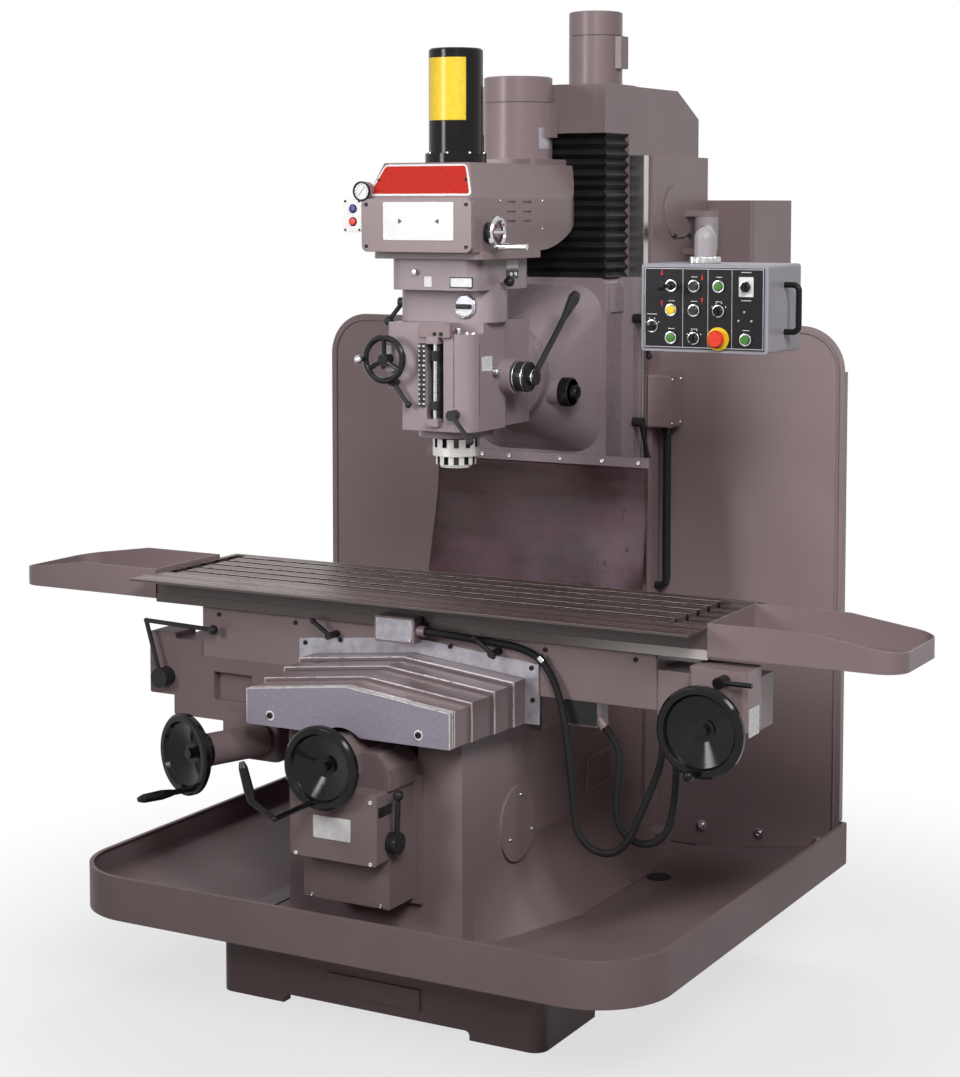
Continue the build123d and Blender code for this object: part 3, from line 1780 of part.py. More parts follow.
def spindle():
    """Spindle in the quill, with a tapered nose and a splined shaft up to the drawbar."""
    nose = head_low - collar_height - nose_ring_gap - nose_ring_height
    low = nose - spindle_nose_drop
    body = turned(
        (taper_large_radius, low),
        (spindle_nose_radius, low),
        (spindle_nose_radius, nose - turn_gap),
        (spindle_body_radius, nose - turn_gap),
        (spindle_body_radius, head_high - turn_gap),
        (spindle_radius, head_high - turn_gap),
        (spindle_radius, head_high + spindle_above_head),
        (0, head_high + spindle_above_head),
        (0, low + taper_depth),
        (taper_small_radius, low + taper_depth),
    )
    return Pos(0, spindle_y) * body


# Head controls
def feed_handwheel():
    """Small spoked handwheel for the fine feed."""
    hub = 2 * knob_radius
    middle = feed_wheel_radius - feed_rim_radius
    wheel = rim(middle, feed_rim_radius, hub)
    wheel += rod((0, 0, 0), (0, 0, hub + feed_rim_radius), knob_radius)
    for angle in (90, 210, 330):
        end = (middle * cos(radians(angle)), middle * sin(radians(angle)), hub)
        wheel += rod((0, 0, hub), end, feed_spoke_radius)
    knob = (-middle, 0, hub + feed_rim_radius + 2 * knob_radius)
    wheel += rod((-middle, 0, hub), knob, feed_spoke_radius) + ball(knob, knob_radius * 0.8)
    y = head_front - feed_boss_length - turn_gap
    place = (feed_wheel_x, y, head_low + feed_wheel_above_head)
    return Plane(origin=place, x_dir=(1, 0, 0), z_dir=(0, -1, 0)) * wheel


def feed_trip_lever():
    """Feed trip lever on the head's face."""
    hub = (trip_x, head_front - turn_gap, head_low + trip_above_head)
    arm = (trip_arm * 0.64, 0, -trip_arm * 0.77)
    return lever(
        hub,
        (0, -1, 0),
        lock_hub_radius,
        trip_hub_length,
        arm,
        1.5 * lever_rod_radius,
        lever_rod_radius,
    )


def quill_lock():
    """Quill clamp lever on the head's face."""
    hub = (quill_lock_x, head_front - turn_gap, head_low + quill_lock_above_head)
    arm = (quill_lock_arm * 0.7, -quill_lock_arm * 0.25, -quill_lock_arm * 0.65)
    return lever(
        hub,
        (0, -1, 0),
        knob_radius,
        2 * knob_radius,
        arm,
        1.5 * lever_rod_radius,
        lever_rod_radius,
    )


def quill_lever():
    """Quill feed drum and its long lever with a grip."""
    y = spindle_y + quill_lever_set_back
    z = head_low + quill_lever_above_head
    start = quill_boss_end + turn_gap
    end = start + quill_drum_length
    body = rod((start, y, z), (end, y, z), quill_drum_radius)
    body += rod((end - 1, y, z), (end + quill_cap_length, y, z), quill_cap_radius)
    lean = radians(quill_lever_lean)
    x = end + quill_cap_length / 2
    reach = quill_lever_arm - quill_grip_length
    joint = (x, y + reach * sin(lean), z + reach * cos(lean))
    body += rod((x, y, z), joint, 1.3 * lever_rod_radius)
    handle = turned(
        (0, -1),
        (grip_radius * 0.7, -1),
        (grip_radius * 1.3, quill_grip_length * 0.8),
        (grip_radius, quill_grip_length),
        (0, quill_grip_length),
    )
    return body + Plane(origin=joint, z_dir=(0, sin(lean), cos(lean))) * handle


def speed_crank():
    """Speed crank ring with a handle on the belt housing's right side."""
    middle = crank_radius - crank_ring_radius
    body = rim(middle, crank_ring_radius, crank_stand)
    body += rod((0, 0, 0), (0, 0, crank_stand), 2 * lever_rod_radius)
    for angle in (0, 180):
        end = (middle * cos(radians(angle)), middle * sin(radians(angle)), crank_stand)
        body += rod((0, 0, crank_stand), end, lever_rod_radius)
    foot = (0, -middle, crank_stand)
    body += rod(foot, (0, -middle, crank_stand + crank_handle), crank_ring_radius)
    place = (belt_half_width + turn_gap, belt_front + crank_set_back, belt_low + crank_above_belt)
    return Plane(origin=place, x_dir=(0, 1, 0), z_dir=(1, 0, 0)) * body


def brake_lever():
    """Spindle brake lever on the gear housing's left side."""
    y = spindle_y - gear_lower_reach + gear_lower_depth / 2
    hub = (-gear_lower_half_width - turn_gap, y, head_high + brake_above_gear)
    arm = (-brake_arm * 0.3, -brake_arm * 0.4, -brake_arm * 0.6)
    return lever(hub, (-1, 0, 0), knob_radius, 2 * knob_radius, arm, knob_radius, lever_rod_radius)


# Pendant
def control_arm():
    """Swinging arm: hub on the column's pin, tube, elbow and drop pipe."""
    hub = (arm_z - arm_hub_height / 2, arm_z + arm_hub_height / 2)
    body = Pos(arm_pivot_x, arm_pivot_y) * ring(arm_hub_radius, 0, hub)
    elbow = (drop_x, drop_y, arm_z)
    body += rod((arm_pivot_x, arm_pivot_y, arm_z), elbow, arm_tube_radius) + ball(elbow, drop_radius)
    body += rod((drop_x, drop_y, box_top + turn_gap), elbow, drop_radius)
    pin = [(arm_pivot_x, arm_pivot_y, z) for z in (hub[0] - 1, hub[1] + 1)]
    return body - rod(*pin, arm_pin_radius + fit_gap)


def panel_place(column, row):
    """Centre of one panel control on the panel's face."""
    return (panel_columns[column], box_front, panel_rows[row])


def outward_plane(place):
    """Plane on the panel that looks at the operator."""
    return Plane(origin=place, x_dir=(1, 0, 0), z_dir=(0, -1, 0))


def control_box():
    """Pendant box with a raised panel, bezels, fixed caps, a grab handle and a collar for the pipe."""
    case = block((box_left, box_right), (box_front + panel_thickness, box_back), (box_low, box_top))
    case = rounded(case, Axis.Y, box_corner)
    case += block(
        (box_left + panel_margin, box_right - panel_margin),
        (box_front, box_front + panel_thickness + 1),
        (box_low + panel_margin, box_top - panel_margin),
    )
    collar = drop_radius + fit_gap + box_collar_wall
    case += Pos(drop_x, drop_y) * ring(
        collar,
        drop_radius + fit_gap,
        (box_top, box_top + box_collar_height),
    )
    moving = ((0, 0), (1, 0), (1, 1), (1, 2), (2, 1), (3, 0), (3, 2))
    fixed = ((0, 1), (0, 2), (2, 0))
    bezel = ring(bezel_radius, 0, (-1, bezel_height))
    socket = ring(cap_radius + turn_gap, 0, (-button_depth, 2 * bezel_height))
    case += outward_plane(panel_place(2, 2)) * ring(stop_ring_radius, 0, (-1, bezel_height))
    case -= outward_plane(panel_place(2, 2)) * socket
    for spot in moving:
        case += outward_plane(panel_place(*spot)) * bezel
        case -= outward_plane(panel_place(*spot)) * socket
    for spot in fixed:
        case += outward_plane(panel_place(*spot)) * (bezel + ring(cap_radius, 0, (0, cap_height)))
    grab_z = (box_low + box_top) / 2
    grab_y = (box_front + box_back) / 2
    reach = box_right + handle_reach
    route = [
        (box_right - 1, grab_y, grab_z - handle_height / 2),
        (reach, grab_y, grab_z - handle_height / 2),
        (reach, grab_y, grab_z + handle_height / 2),
        (box_right - 1, grab_y, grab_z + handle_height / 2),
    ]
    path = FilletPolyline(*route, radius=2 * handle_radius)
    return case + sweep(Plane(origin=route[0], z_dir=(1, 0, 0)) * Circle(handle_radius), path=path)


def stem():
    """Guide of a panel control in its socket."""
    return ring(cap_radius, 0, (button_travel + 1 - button_depth, bezel_height + cap_height))


def push_button(column, row):
    """Spring-returned push button."""
    return outward_plane(panel_place(column, row)) * stem()


def selector(column, row):
    """Selector with a pointer bar."""
    bar = Pos(0, 0, bezel_height + cap_height) * Box(cap_radius * 0.7, pointer_length, cap_height)
    return outward_plane(panel_place(column, row)) * (stem() + bar)


def e_stop():
    """Emergency stop with a mushroom head."""
    low = bezel_height + button_travel + 1
    head = turned(
        (0, low),
        (stop_cap_radius * 0.8, low),
        (stop_cap_radius, low + stop_cap_height / 2),
        (stop_cap_radius * 0.8, low + stop_cap_height),
        (0, low + stop_cap_height),
    )
    return outward_plane(panel_place(2, 2)) * (stem() + head)


def joystick():
    """Jog joystick on a ball in its socket."""
    body = Sphere(cap_radius) + rod((0, 0, 0), (0, 0, joystick_length), lever_rod_radius * 0.8)
    return outward_plane(panel_place(0, 0)) * (body + ball((0, 0, joystick_length), knob_radius * 0.8))


# Column wiring
def column_wiring():
    """Junction box on the column's right side, with its conduit down to an entry in the column."""
    x = column_half_width
    y = column_front + column_box_set_back
    high = column_top - column_box_drop
    low = high - column_box_height
    box = block(
        (x, x + column_box_reach),
        (y - column_box_half_depth, y + column_box_half_depth),
        (low, high),
    )
    box = rounded(box, Axis.X, column_box_corner)
    pipe_x = x + column_box_reach / 2
    pipe_y = y + column_box_half_depth / 2
    foot = low - column_conduit_length
    route = [(pipe_x, pipe_y, low + 1), (pipe_x, pipe_y, foot), (x, pipe_y, foot)]
    path = FilletPolyline(*route, radius=2 * column_conduit_radius)
    return box + sweep(
        Plane(origin=route[0], z_dir=(0, 0, -1)) * Circle(column_conduit_radius),
        path=path,
    )


PIECES = {
    "base_casting": base_casting,
    "chip_pan": chip_pan,
    "bed": bed,
    "column": column,
    "top_housing": top_housing,
    "z_motor": z_motor,
    "electrical_cabinet": electrical_cabinet,
    "splash_guards": splash_guards,
    "y_gearbox": y_gearbox,
    "cover_front_plate": cover_front_plate,
    "column_wiring": column_wiring,
    "z_screw": z_screw,
    "y_wheel": y_wheel,
    "y_screw": y_screw,
    "y_feed_lever": y_feed_lever,
    "saddle": saddle,
    "x_drive_left": x_drive_left,
    "x_gearbox_right": x_gearbox_right,
    "cover_hood": cover_hood,
    "conduit_loop": conduit_loop,
    "conduit_branch": conduit_branch,
    "x_wheel_left": x_wheel_left,
    "x_wheel_right": x_wheel_right,
    "x_feed_lever": x_feed_lever,
    "table": table,
    "x_screw": x_screw,
    "chip_trays": chip_trays,
    "carriage": carriage,
    "bellows": bellows,
    "apron": apron,
    "head_casting": head_casting,
    "gear_housing": gear_housing,
    "belt_housing": belt_housing,
    "spindle_motor": spindle_motor,
    "drawbar_cover": drawbar_cover,
    "quill": quill,
    "spindle": spindle,
    "feed_handwheel": feed_handwheel,
    "feed_trip_lever": feed_trip_lever,
    "quill_lock": quill_lock,
    "quill_lever": quill_lever,
    "speed_crank": speed_crank,
    "brake_lever": brake_lever,
    "control_arm": control_arm,
    "control_box": control_box,
    "e_stop": e_stop,
    "joystick": joystick,
}


def main():
    """Builds each piece and writes it to its own file."""
    built = {name: make() for name, make in PIECES.items()}
    for step in range(1, len(leaf_steps) + 1):
        built[f"cover_leaf_{step}"] = cover_leaf(step)
    built["table_lock_left"] = table_lock(-1)
    built["table_lock_right"] = table_lock(1)
    built["carriage_lock_upper"] = carriage_lock(swivel_z + carriage_lock_rise)
    built["carriage_lock_lower"] = carriage_lock(swivel_z - carriage_lock_drop)
    built["up_button"] = push_button(1, 0)
    built["down_button"] = push_button(1, 1)
    built["start_button"] = push_button(3, 2)
    built["selector_upper"] = selector(2, 1)
    built["selector_lower"] = selector(1, 2)
    built["rotary_switch"] = selector(3, 0)
    os.makedirs("parts", exist_ok=True)
    for name, solid in built.items():
        export_step(solid, f"parts/{name}.step")


if __name__ == "__main__":
    main()
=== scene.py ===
# %% [markdown]
# # A bed mill
# A bed mill carries its table on a bed bolted to the floor, and its milling head climbs a column behind it.
# The solids come from the CAD frame and stay where they are. This lesson gives them their finishes, and adds what
# is better drawn as a surface: bellows, rubber apron, ribbed conduits, plates, dials and screws.

import bmesh
import bpy
import numpy as np
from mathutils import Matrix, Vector


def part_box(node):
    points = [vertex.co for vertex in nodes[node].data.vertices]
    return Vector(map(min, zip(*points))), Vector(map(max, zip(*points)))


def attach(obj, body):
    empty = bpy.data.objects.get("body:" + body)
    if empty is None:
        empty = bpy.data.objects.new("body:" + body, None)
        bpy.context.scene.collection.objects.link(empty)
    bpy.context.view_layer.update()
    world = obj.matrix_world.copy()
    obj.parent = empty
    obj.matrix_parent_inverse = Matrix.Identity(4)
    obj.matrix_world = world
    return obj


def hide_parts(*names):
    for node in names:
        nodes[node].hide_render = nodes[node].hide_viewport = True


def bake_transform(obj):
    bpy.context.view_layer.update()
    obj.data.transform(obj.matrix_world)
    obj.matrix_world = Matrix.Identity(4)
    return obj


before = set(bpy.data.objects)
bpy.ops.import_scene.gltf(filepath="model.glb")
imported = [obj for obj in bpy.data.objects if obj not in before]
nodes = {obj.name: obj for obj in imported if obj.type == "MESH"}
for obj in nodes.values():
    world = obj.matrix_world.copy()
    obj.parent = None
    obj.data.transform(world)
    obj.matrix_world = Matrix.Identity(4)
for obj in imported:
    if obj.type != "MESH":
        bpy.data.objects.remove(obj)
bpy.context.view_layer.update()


def corners(node):
    """Lowest and highest corner of a CAD node, as arrays."""
    return [np.array(corner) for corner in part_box(node)]


# %% [markdown]
# ## Camera
# The photograph was taken from the right front with upright edges kept nearly parallel. A long lens, a slight
# tilt and some vertical shift give the same view. All shift and no tilt would be closer still, but a large shift
# would push the machine out of the frame when it is looked at from other sides.

# %% Camera
IMAGE_HEIGHT = 1077
FOCAL_PIXELS = 2231.0
HORIZON_ROW = 203.0
SHIFT = -0.15
camera_data = bpy.data.cameras.new("camera")
camera = bpy.data.objects.new("camera", camera_data)
bpy.context.scene.collection.objects.link(camera)
bpy.context.scene.camera = camera
camera_data.sensor_width = 36.0
camera_data.lens = FOCAL_PIXELS * camera_data.sensor_width / IMAGE_HEIGHT
camera_data.shift_y = SHIFT
drop = (IMAGE_HEIGHT / 2 - HORIZON_ROW) / FOCAL_PIXELS
tilt = np.arctan(drop) - np.arctan(-SHIFT * IMAGE_HEIGHT / FOCAL_PIXELS)
camera.location = (2.795, -5.297, 1.983)
camera.rotation_euler = (np.pi / 2 - tilt, 0, np.radians(29))
print("tilt", round(np.degrees(tilt), 2), "degrees")

# %% [markdown]
# ## Surfaces
# Each new piece is a grid of points worked out with numpy: rows run one way over the surface and columns the
# other. One function turns such a grid into faces, another sets copies of it down at places, and a third makes the
# piece. Most shapes are a profile turned about an axis, a profile carried along a path, or an outline that steps in
# and up. Finishes are kept by name.

# %% Making a piece
UPRIGHT = ((1, 0, 0), (0, 1, 0), (0, 0, 1))
MERGE_DISTANCE = 1e-6
FINISHES = {}


def quads(rows, columns, close_rows=False, close_columns=True):
    """Faces of a grid: each joins a point to the next one along its row and in the row above."""
    index = np.arange(rows * columns).reshape(rows, columns)
    if close_rows:
        index = np.vstack([index, index[:1]])
    if close_columns:
        index = np.hstack([index, index[:, :1]])
    cells = (index[:-1, :-1], index[:-1, 1:], index[1:, 1:], index[1:, :-1])
    return np.stack(cells, -1).reshape(-1, 4)


def many(grids, places, **close):
    """Points and faces of grids at (origin, x, y, z) places: origin + point @ axes. One grid serves all places."""
    places = np.array(places, float)
    rows, columns, _ = np.shape(grids)[-3:]
    flat = np.broadcast_to(grids, (len(places), rows, columns, 3)).reshape(len(places), -1, 3)
    points = places[:, :1] + flat @ places[:, 1:]
    faces = quads(rows, columns, **close) + rows * columns * np.arange(len(places))[:, None, None]
    return points.reshape(-1, 3), faces.reshape(-1, 4)


def show(name, grids, finish, body, places=None, slot=None, smooth=40, **close):
    """Makes a piece from grids, merges its poles, gives it a finish by name and lets it ride on a body."""
    points, faces = many(grids, places or [((0, 0, 0), *UPRIGHT)], **close)
    mesh = bpy.data.meshes.new(name)
    mesh.from_pydata(points.tolist(), [], faces.tolist())
    piece = bpy.data.objects.new(name, mesh)
    bpy.context.scene.collection.objects.link(piece)
    work = bmesh.new()
    work.from_mesh(mesh)
    bmesh.ops.remove_doubles(work, verts=work.verts, dist=MERGE_DISTANCE)
    bmesh.ops.recalc_face_normals(work, faces=work.faces)
    work.to_mesh(mesh)
    work.free()
    mesh.shade_smooth()
    mesh.set_sharp_from_angle(angle=np.radians(smooth))
    mesh.materials.append(FINISHES[finish])
    if body:
        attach(piece, body)
    return piece


# %% Shapes
def closed(grid):
    """The grid with one more row at each end, drawn together in the middle of the end row."""
    ends = [np.broadcast_to(grid[i].mean(0), grid[i].shape)[None] for i in (0, -1)]
    return np.concatenate([ends[0], grid, ends[1]])


def turned(profile, segments=48):
    """Profile of (radius, height) turned about Z: x = r cos t, y = r sin t, z = h."""
    profile = np.array(profile, float)
    angle = np.linspace(0, 2 * np.pi, segments, endpoint=False)
    x = profile[:, :1] * np.cos(angle)
    y = profile[:, :1] * np.sin(angle)
    return np.stack([x, y, np.repeat(profile[:, 1:], segments, 1)], -1)


def rounded_outline(width, height, radius, steps=6):
    """Rectangle with round corners: four quarter circles about the corners of a smaller rectangle."""
    angle = np.concatenate([np.linspace(q, q + np.pi / 2, steps) for q in np.arange(4) * np.pi / 2])
    x = np.repeat([1, -1, -1, 1], steps) * (width / 2 - radius) + radius * np.cos(angle)
    y = np.repeat([1, 1, -1, -1], steps) * (height / 2 - radius) + radius * np.sin(angle)
    return np.stack([x, y], -1)


def slab(thickness, edge=0.0006):
    """Profile of a plate with a small bevelled edge."""
    return [(0, 0), (0, thickness - edge), (edge, thickness)]


def plate(width, height, radius, profile):
    """Closed plate whose outline steps in by each inset of a profile of (inset, lift)."""
    rows = []
    for inset, lift in profile:
        ring = rounded_outline(width - 2 * inset, height - 2 * inset, max(radius - inset, 1e-4))
        rows.append(np.column_stack([ring, np.full(len(ring), lift)]))
    return closed(np.stack(rows))


def carried(path, radius, segments=20):
    """Tube along a path: path + radius * (across cos t + up sin t), of one radius or of one for each point."""
    path = np.array(path, float)
    along = np.gradient(path, axis=0)
    along /= np.linalg.norm(along, axis=1, keepdims=True)
    across = np.cross(along, (0, 1, 0))
    across /= np.linalg.norm(across, axis=1, keepdims=True)
    angle = np.linspace(0, 2 * np.pi, segments, endpoint=False)[:, None]
    wide = across[:, None] * np.cos(angle) + np.cross(along, across)[:, None] * np.sin(angle)
    return path[:, None] + np.broadcast_to(radius, len(path))[:, None, None] * wide


print("shapes ready")

# %% [markdown]
# ## Finishes as sums
# Shader nodes are easier to read as sums. A small class wraps an output socket, so that adding or multiplying two
# sockets adds Math nodes. Every other node comes from one method that takes its type, its settings and what goes
# into its sockets.


# %% Shader maths
class Value:
    """An output socket of a finish, with arithmetic that adds Math nodes."""

    def __init__(self, finish, output):
        self.finish = finish
        self.output = output

    def math(self, operation, *values):
        """One Math node on values or numbers."""
        return self.finish.node("ShaderNodeMath", {"operation": operation}, dict(enumerate(values)))

    def __gt__(self, other):
        return self.math("GREATER_THAN", self, other)

    def __lt__(self, other):
        return self.math("LESS_THAN", self, other)

    def __abs__(self):
        return self.math("ABSOLUTE", self)

    def rise(self, low, high):
        """0 below low, 1 above high, and a smooth step between."""
        ends = {"Value": self, "From Min": low, "From Max": high}
        return self.finish.node("ShaderNodeMapRange", {"interpolation_type": "SMOOTHSTEP"}, ends)


def operators(operation):
    """An operator and its reflected form, as in mask - 1 and 1 - mask."""
    return (lambda a, b: a.math(operation, a, b)), (lambda a, b: a.math(operation, b, a))


for sign, operation in {"add": "ADD", "sub": "SUBTRACT", "mul": "MULTIPLY", "pow": "POWER", "mod": "FLOORED_MODULO",
                        "or": "MAXIMUM"}.items():
    forward, reflected = operators(operation)
    setattr(Value, f"__{sign}__", forward)
    setattr(Value, f"__r{sign}__", reflected)
    print(sign, "adds", operation)


# %% A finish
def rgba(colour):
    """A colour with full alpha, for a socket."""
    return colour if isinstance(colour, Value) else (*colour, 1.0)


def shaded(colour, factor):
    """A colour with each channel times a factor."""
    return tuple(factor * channel for channel in colour)


class Finish:
    """A material or world with its shader, and the one method that adds nodes."""

    def __init__(self, name, family=bpy.data.materials, shader="Principled BSDF"):
        self.name = name
        self.owner = family.new(name)
        self.owner.use_nodes = True
        self.tree = self.owner.node_tree
        self.shader = self.tree.nodes[shader]
        self.place = self.node("ShaderNodeTexCoord", output="Object")

    def put(self, socket, value):
        """Links a value to a socket, or sets a number on it."""
        if isinstance(value, Value):
            self.tree.links.new(value.output, socket)
        else:
            socket.default_value = value

    def node(self, kind, settings=None, inputs=None, output=0):
        """Adds a node: its settings first, then what goes into its sockets."""
        added = self.tree.nodes.new(kind)
        for key, value in (settings or {}).items():
            setattr(added, key, value)
        for key, value in (inputs or {}).items():
            self.put(added.inputs[key], value)
        return Value(self, added.outputs[output])

    def set(self, inputs):
        """Fills the shader's sockets and keeps the finish under its name."""
        for key, value in inputs.items():
            self.put(self.shader.inputs[key], value)
        FINISHES[self.name] = self.owner

    def noise(self, scale, detail=2.0, place=None):
        """Cloudy noise about 0.5, with scale cells to the metre."""
        inputs = {"Vector": place or self.place, "Scale": scale, "Detail": detail}
        return self.node("ShaderNodeTexNoise", None, inputs)

    def stretched(self, scale):
        """Object coordinates stretched by a factor for each axis."""
        return self.node("ShaderNodeMapping", None, {"Vector": self.place, "Scale": scale})

    def axes(self):
        """The three object coordinates."""
        return [self.node("ShaderNodeSeparateXYZ", None, {"Vector": self.place}, axis) for axis in "XYZ"]

    def mix(self, factor, first, second):
        """Colour between two colours."""
        pair = {0: factor, 6: rgba(first), 7: rgba(second)}
        return self.node("ShaderNodeMix", {"data_type": "RGBA"}, pair, 2)

    def far(self, centre):
        """Distance from a point."""
        inputs = {0: self.place, 1: tuple(centre)}
        return self.node("ShaderNodeVectorMath", {"operation": "DISTANCE"}, inputs, 1)

    def soft(self, radius):
        """Surface direction on edges that look rounded by a radius."""
        return self.node("ShaderNodeBevel", {"samples": 4}, {"Radius": radius})

    def bump(self, height, depth, soft_edge=0.0):
        """Surface direction from a height map, on edges that look rounded."""
        inputs = {"Height": height, "Distance": depth}
        if soft_edge:
            inputs["Normal"] = self.soft(soft_edge)
        return self.node("ShaderNodeBump", None, inputs)

    def edge(self, radius):
        """1 on an edge and 0 on flat ground: how far the rounded direction leaves the true one."""
        both = {0: self.soft(radius), 1: self.node("ShaderNodeNewGeometry", output="True Normal")}
        return (1 - self.node("ShaderNodeVectorMath", {"operation": "DOT_PRODUCT"}, both, 1)).rise(0.02, 0.25)

    def seen(self):
        """1 for rays from the camera and for those that a mirror or glass sends on, else 0."""
        camera_ray, glossy, clear = (self.node("ShaderNodeLightPath", output=f"Is {kind} Ray")
                                     for kind in ("Camera", "Glossy", "Transmission"))
        return camera_ray | glossy | clear


print("finish ready")

# %% [markdown]
# ## Machine paint
# The castings and sheets carry one warm grey enamel. It is not one flat colour: sprayed enamel has a faint skin
# like orange peel, clouds of slightly different grey, and thin paler lines along the edges, which are partly rubbed
# paint and partly painted highlight. The skin is a fine noise in the bump, and the paler edges come from a rounded
# direction compared with the true one. A darker copy of the enamel on the low castings is painted shade, and a paler,
# bluer copy on the head and carriage is painted light. Some castings have zones of another finish, such as ground
# ways. A zone is a mask worked out from where a point lies.

# %% Paint
PEEL_DEPTH = 0.00012


def paint(name, colour, roughness=0.30, soft_edge=0.0022, gleam=0.24, zones=None):
    """Clouded enamel with paler edges, rubbed and painted highlight. Each zone lays its colour, metal and gloss over
    it; plain paint has specks.
    """
    f = Finish(name)
    tone = f.mix(f.noise(2.2, 4.0).rise(0.3, 0.7), shaded(colour, 0.90), shaded(colour, 1.10))
    if not zones:
        tone = f.mix((f.noise(900.0, 1.0) - 0.5) * 0.5 + 0.25, tone, shaded(colour, 0.8))
    # Paler edges: partly rubbed paint, partly a painted highlight along every edge.
    rubbed_and_highlit = f.edge(soft_edge) * f.noise(38.0, 3.0).rise(0.35, 0.65) * 0.5
    tone = f.mix(rubbed_and_highlit, tone, shaded(colour, 1.9))
    metal, gloss = 0.0, f.noise(7.0, 3.0) * 0.14 + (roughness - 0.07)
    for mask, zone_colour, zone_metal, zone_gloss in zones(f) if zones else ():
        tone = f.mix(mask, tone, zone_colour)
        metal = metal * (1 - mask) + mask * zone_metal
        gloss = gloss * (1 - mask) + mask * zone_gloss
    f.set({
        "Base Color": tone,
        "Metallic": metal,
        "Roughness": gloss,
        "Specular IOR Level": gleam,
        "Normal": f.bump(f.noise(260.0, 2.0), PEEL_DEPTH, soft_edge),
    })


GREY = (0.255, 0.190, 0.194)
# LIT_GREY is the machine enamel made paler and bluer: painted light on the head, carriage and gear housing.
LIT_GREY = (0.300, 0.243, 0.258)
paint("machine_paint", GREY)
# The low castings take a darker copy of the enamel: painted shade, as less light falls low down.
paint("base_paint", shaded(GREY, 0.84), 0.44, gleam=0.10)
paint("sheet_paint", shaded(GREY, 1.06), 0.32, 0.0012)
paint("motor_paint", shaded(GREY, 1.02))
paint("leaf_paint", shaded(GREY, 0.72), soft_edge=0.0012)
paint("lit_head_paint", LIT_GREY, 0.28)
paint("arm_paint", (0.38, 0.35, 0.37), 0.24)
print("paints", list(FINISHES))

# %% [markdown]
# ## Bare metal, black handles, rubber and plastic
# Ground faces show fine lines along the way the wheel ran, so their noise is stretched many times along one
# axis. Handles are black phenolic with a hard gloss. Rubber and conduit are matt black with a dusty bloom. Caps and
# plates are an even plastic with a faint cloud.


# %% Metals, blacks and plastics
def ground(name, colour, lines, roughness, metallic=1.0):
    """Metal with fine lines: noise stretched across the way of the grinding."""
    f = Finish(name)
    streak = f.noise(1.0, 2.0, f.stretched(lines))
    stain = f.noise(9.0, 4.0)
    tone = f.mix(streak.rise(0.3, 0.7), shaded(colour, 0.85), shaded(colour, 1.1))
    f.set({
        "Base Color": f.mix(stain.rise(0.55, 0.8) * 0.35, tone, shaded(colour, 0.6)),
        "Metallic": metallic,
        "Roughness": streak * 0.18 + stain * 0.12 + (roughness - 0.15),
        "Normal": f.bump(streak, 0.00003, 0.001),
    })


def black(name, colour, roughness, grain=60.0, depth=0.00005, soft_edge=0.0015):
    """Black surface with a dusty bloom: one noise moves its colour and gloss, and a finer one is its grain."""
    f = Finish(name)
    bloom = f.noise(14.0, 4.0)
    f.set({
        "Base Color": f.mix(bloom.rise(0.4, 0.75), colour, shaded(colour, 1.5)),
        "Roughness": bloom * 0.16 + (roughness - 0.06),
        "Specular IOR Level": 0.18,
        "Normal": f.bump(f.noise(grain, 3.0), depth, soft_edge),
    })


def plastic(name, colour):
    """Moulded plastic: even colour with a faint cloud and a soft gloss."""
    f = Finish(name)
    cloud = f.noise(80.0, 3.0)
    f.set({
        "Base Color": f.mix(cloud, shaded(colour, 0.85), shaded(colour, 1.1)),
        "Roughness": cloud * 0.1 + 0.22,
        "Specular IOR Level": 0.25,
        "Normal": f.bump(cloud, 0.00004, 0.001),
    })


ground("bright_steel", (0.50, 0.49, 0.48), (6, 6, 700), 0.26)
ground("chrome", (0.60, 0.59, 0.60), (90, 90, 90), 0.14)
ground("pale_metal", (0.40, 0.38, 0.42), (40, 40, 40), 0.38, 0.55)
ground("wiper_steel", (0.66, 0.62, 0.63), (60, 60, 60), 0.30, 0.8)
black("black_handle", (0.010, 0.009, 0.010), 0.15)
black("black_oxide", (0.022, 0.021, 0.022), 0.28, 300.0)
black("black_rubber", (0.013, 0.012, 0.012), 0.55, 500.0, 0.0002)
black("black_gloss", (0.007, 0.006, 0.007), 0.10, 20.0, 0.00002, 0.001)
black("bellows_skin", (0.012, 0.011, 0.011), 0.42, 700.0, 0.0001, 0.0)
for name, colour in {
    "red_cap": (0.72, 0.045, 0.018), "green_cap": (0.055, 0.20, 0.030), "yellow_cap": (0.80, 0.56, 0.02),
    "dark_cap": (0.020, 0.020, 0.020), "blue_cap": (0.035, 0.05, 0.22), "white_plate": (0.74, 0.74, 0.72),
    "red_plate": (0.46, 0.020, 0.010), "yellow_plate": (0.86, 0.60, 0.04),
}.items():
    plastic(name, colour)
print("finishes so far", len(FINISHES))

# %% [markdown]
# ## Table top
# The table is cast iron, ground along its length. Oil and handling leave it darker and browner than clean steel.
# The walls of the slots are painted dark as painted shade, their lips and the table's edges pale as painted
# highlights, and a painted highlight grows along the front face towards the right. A slot is only a matter of where a
# point lies across the table, so the finish reads the Y coordinate.

# %% Table iron
TABLE_Y, SLOT_PITCH, SLOT_WIDTH = -0.4125, 0.0635, 0.018


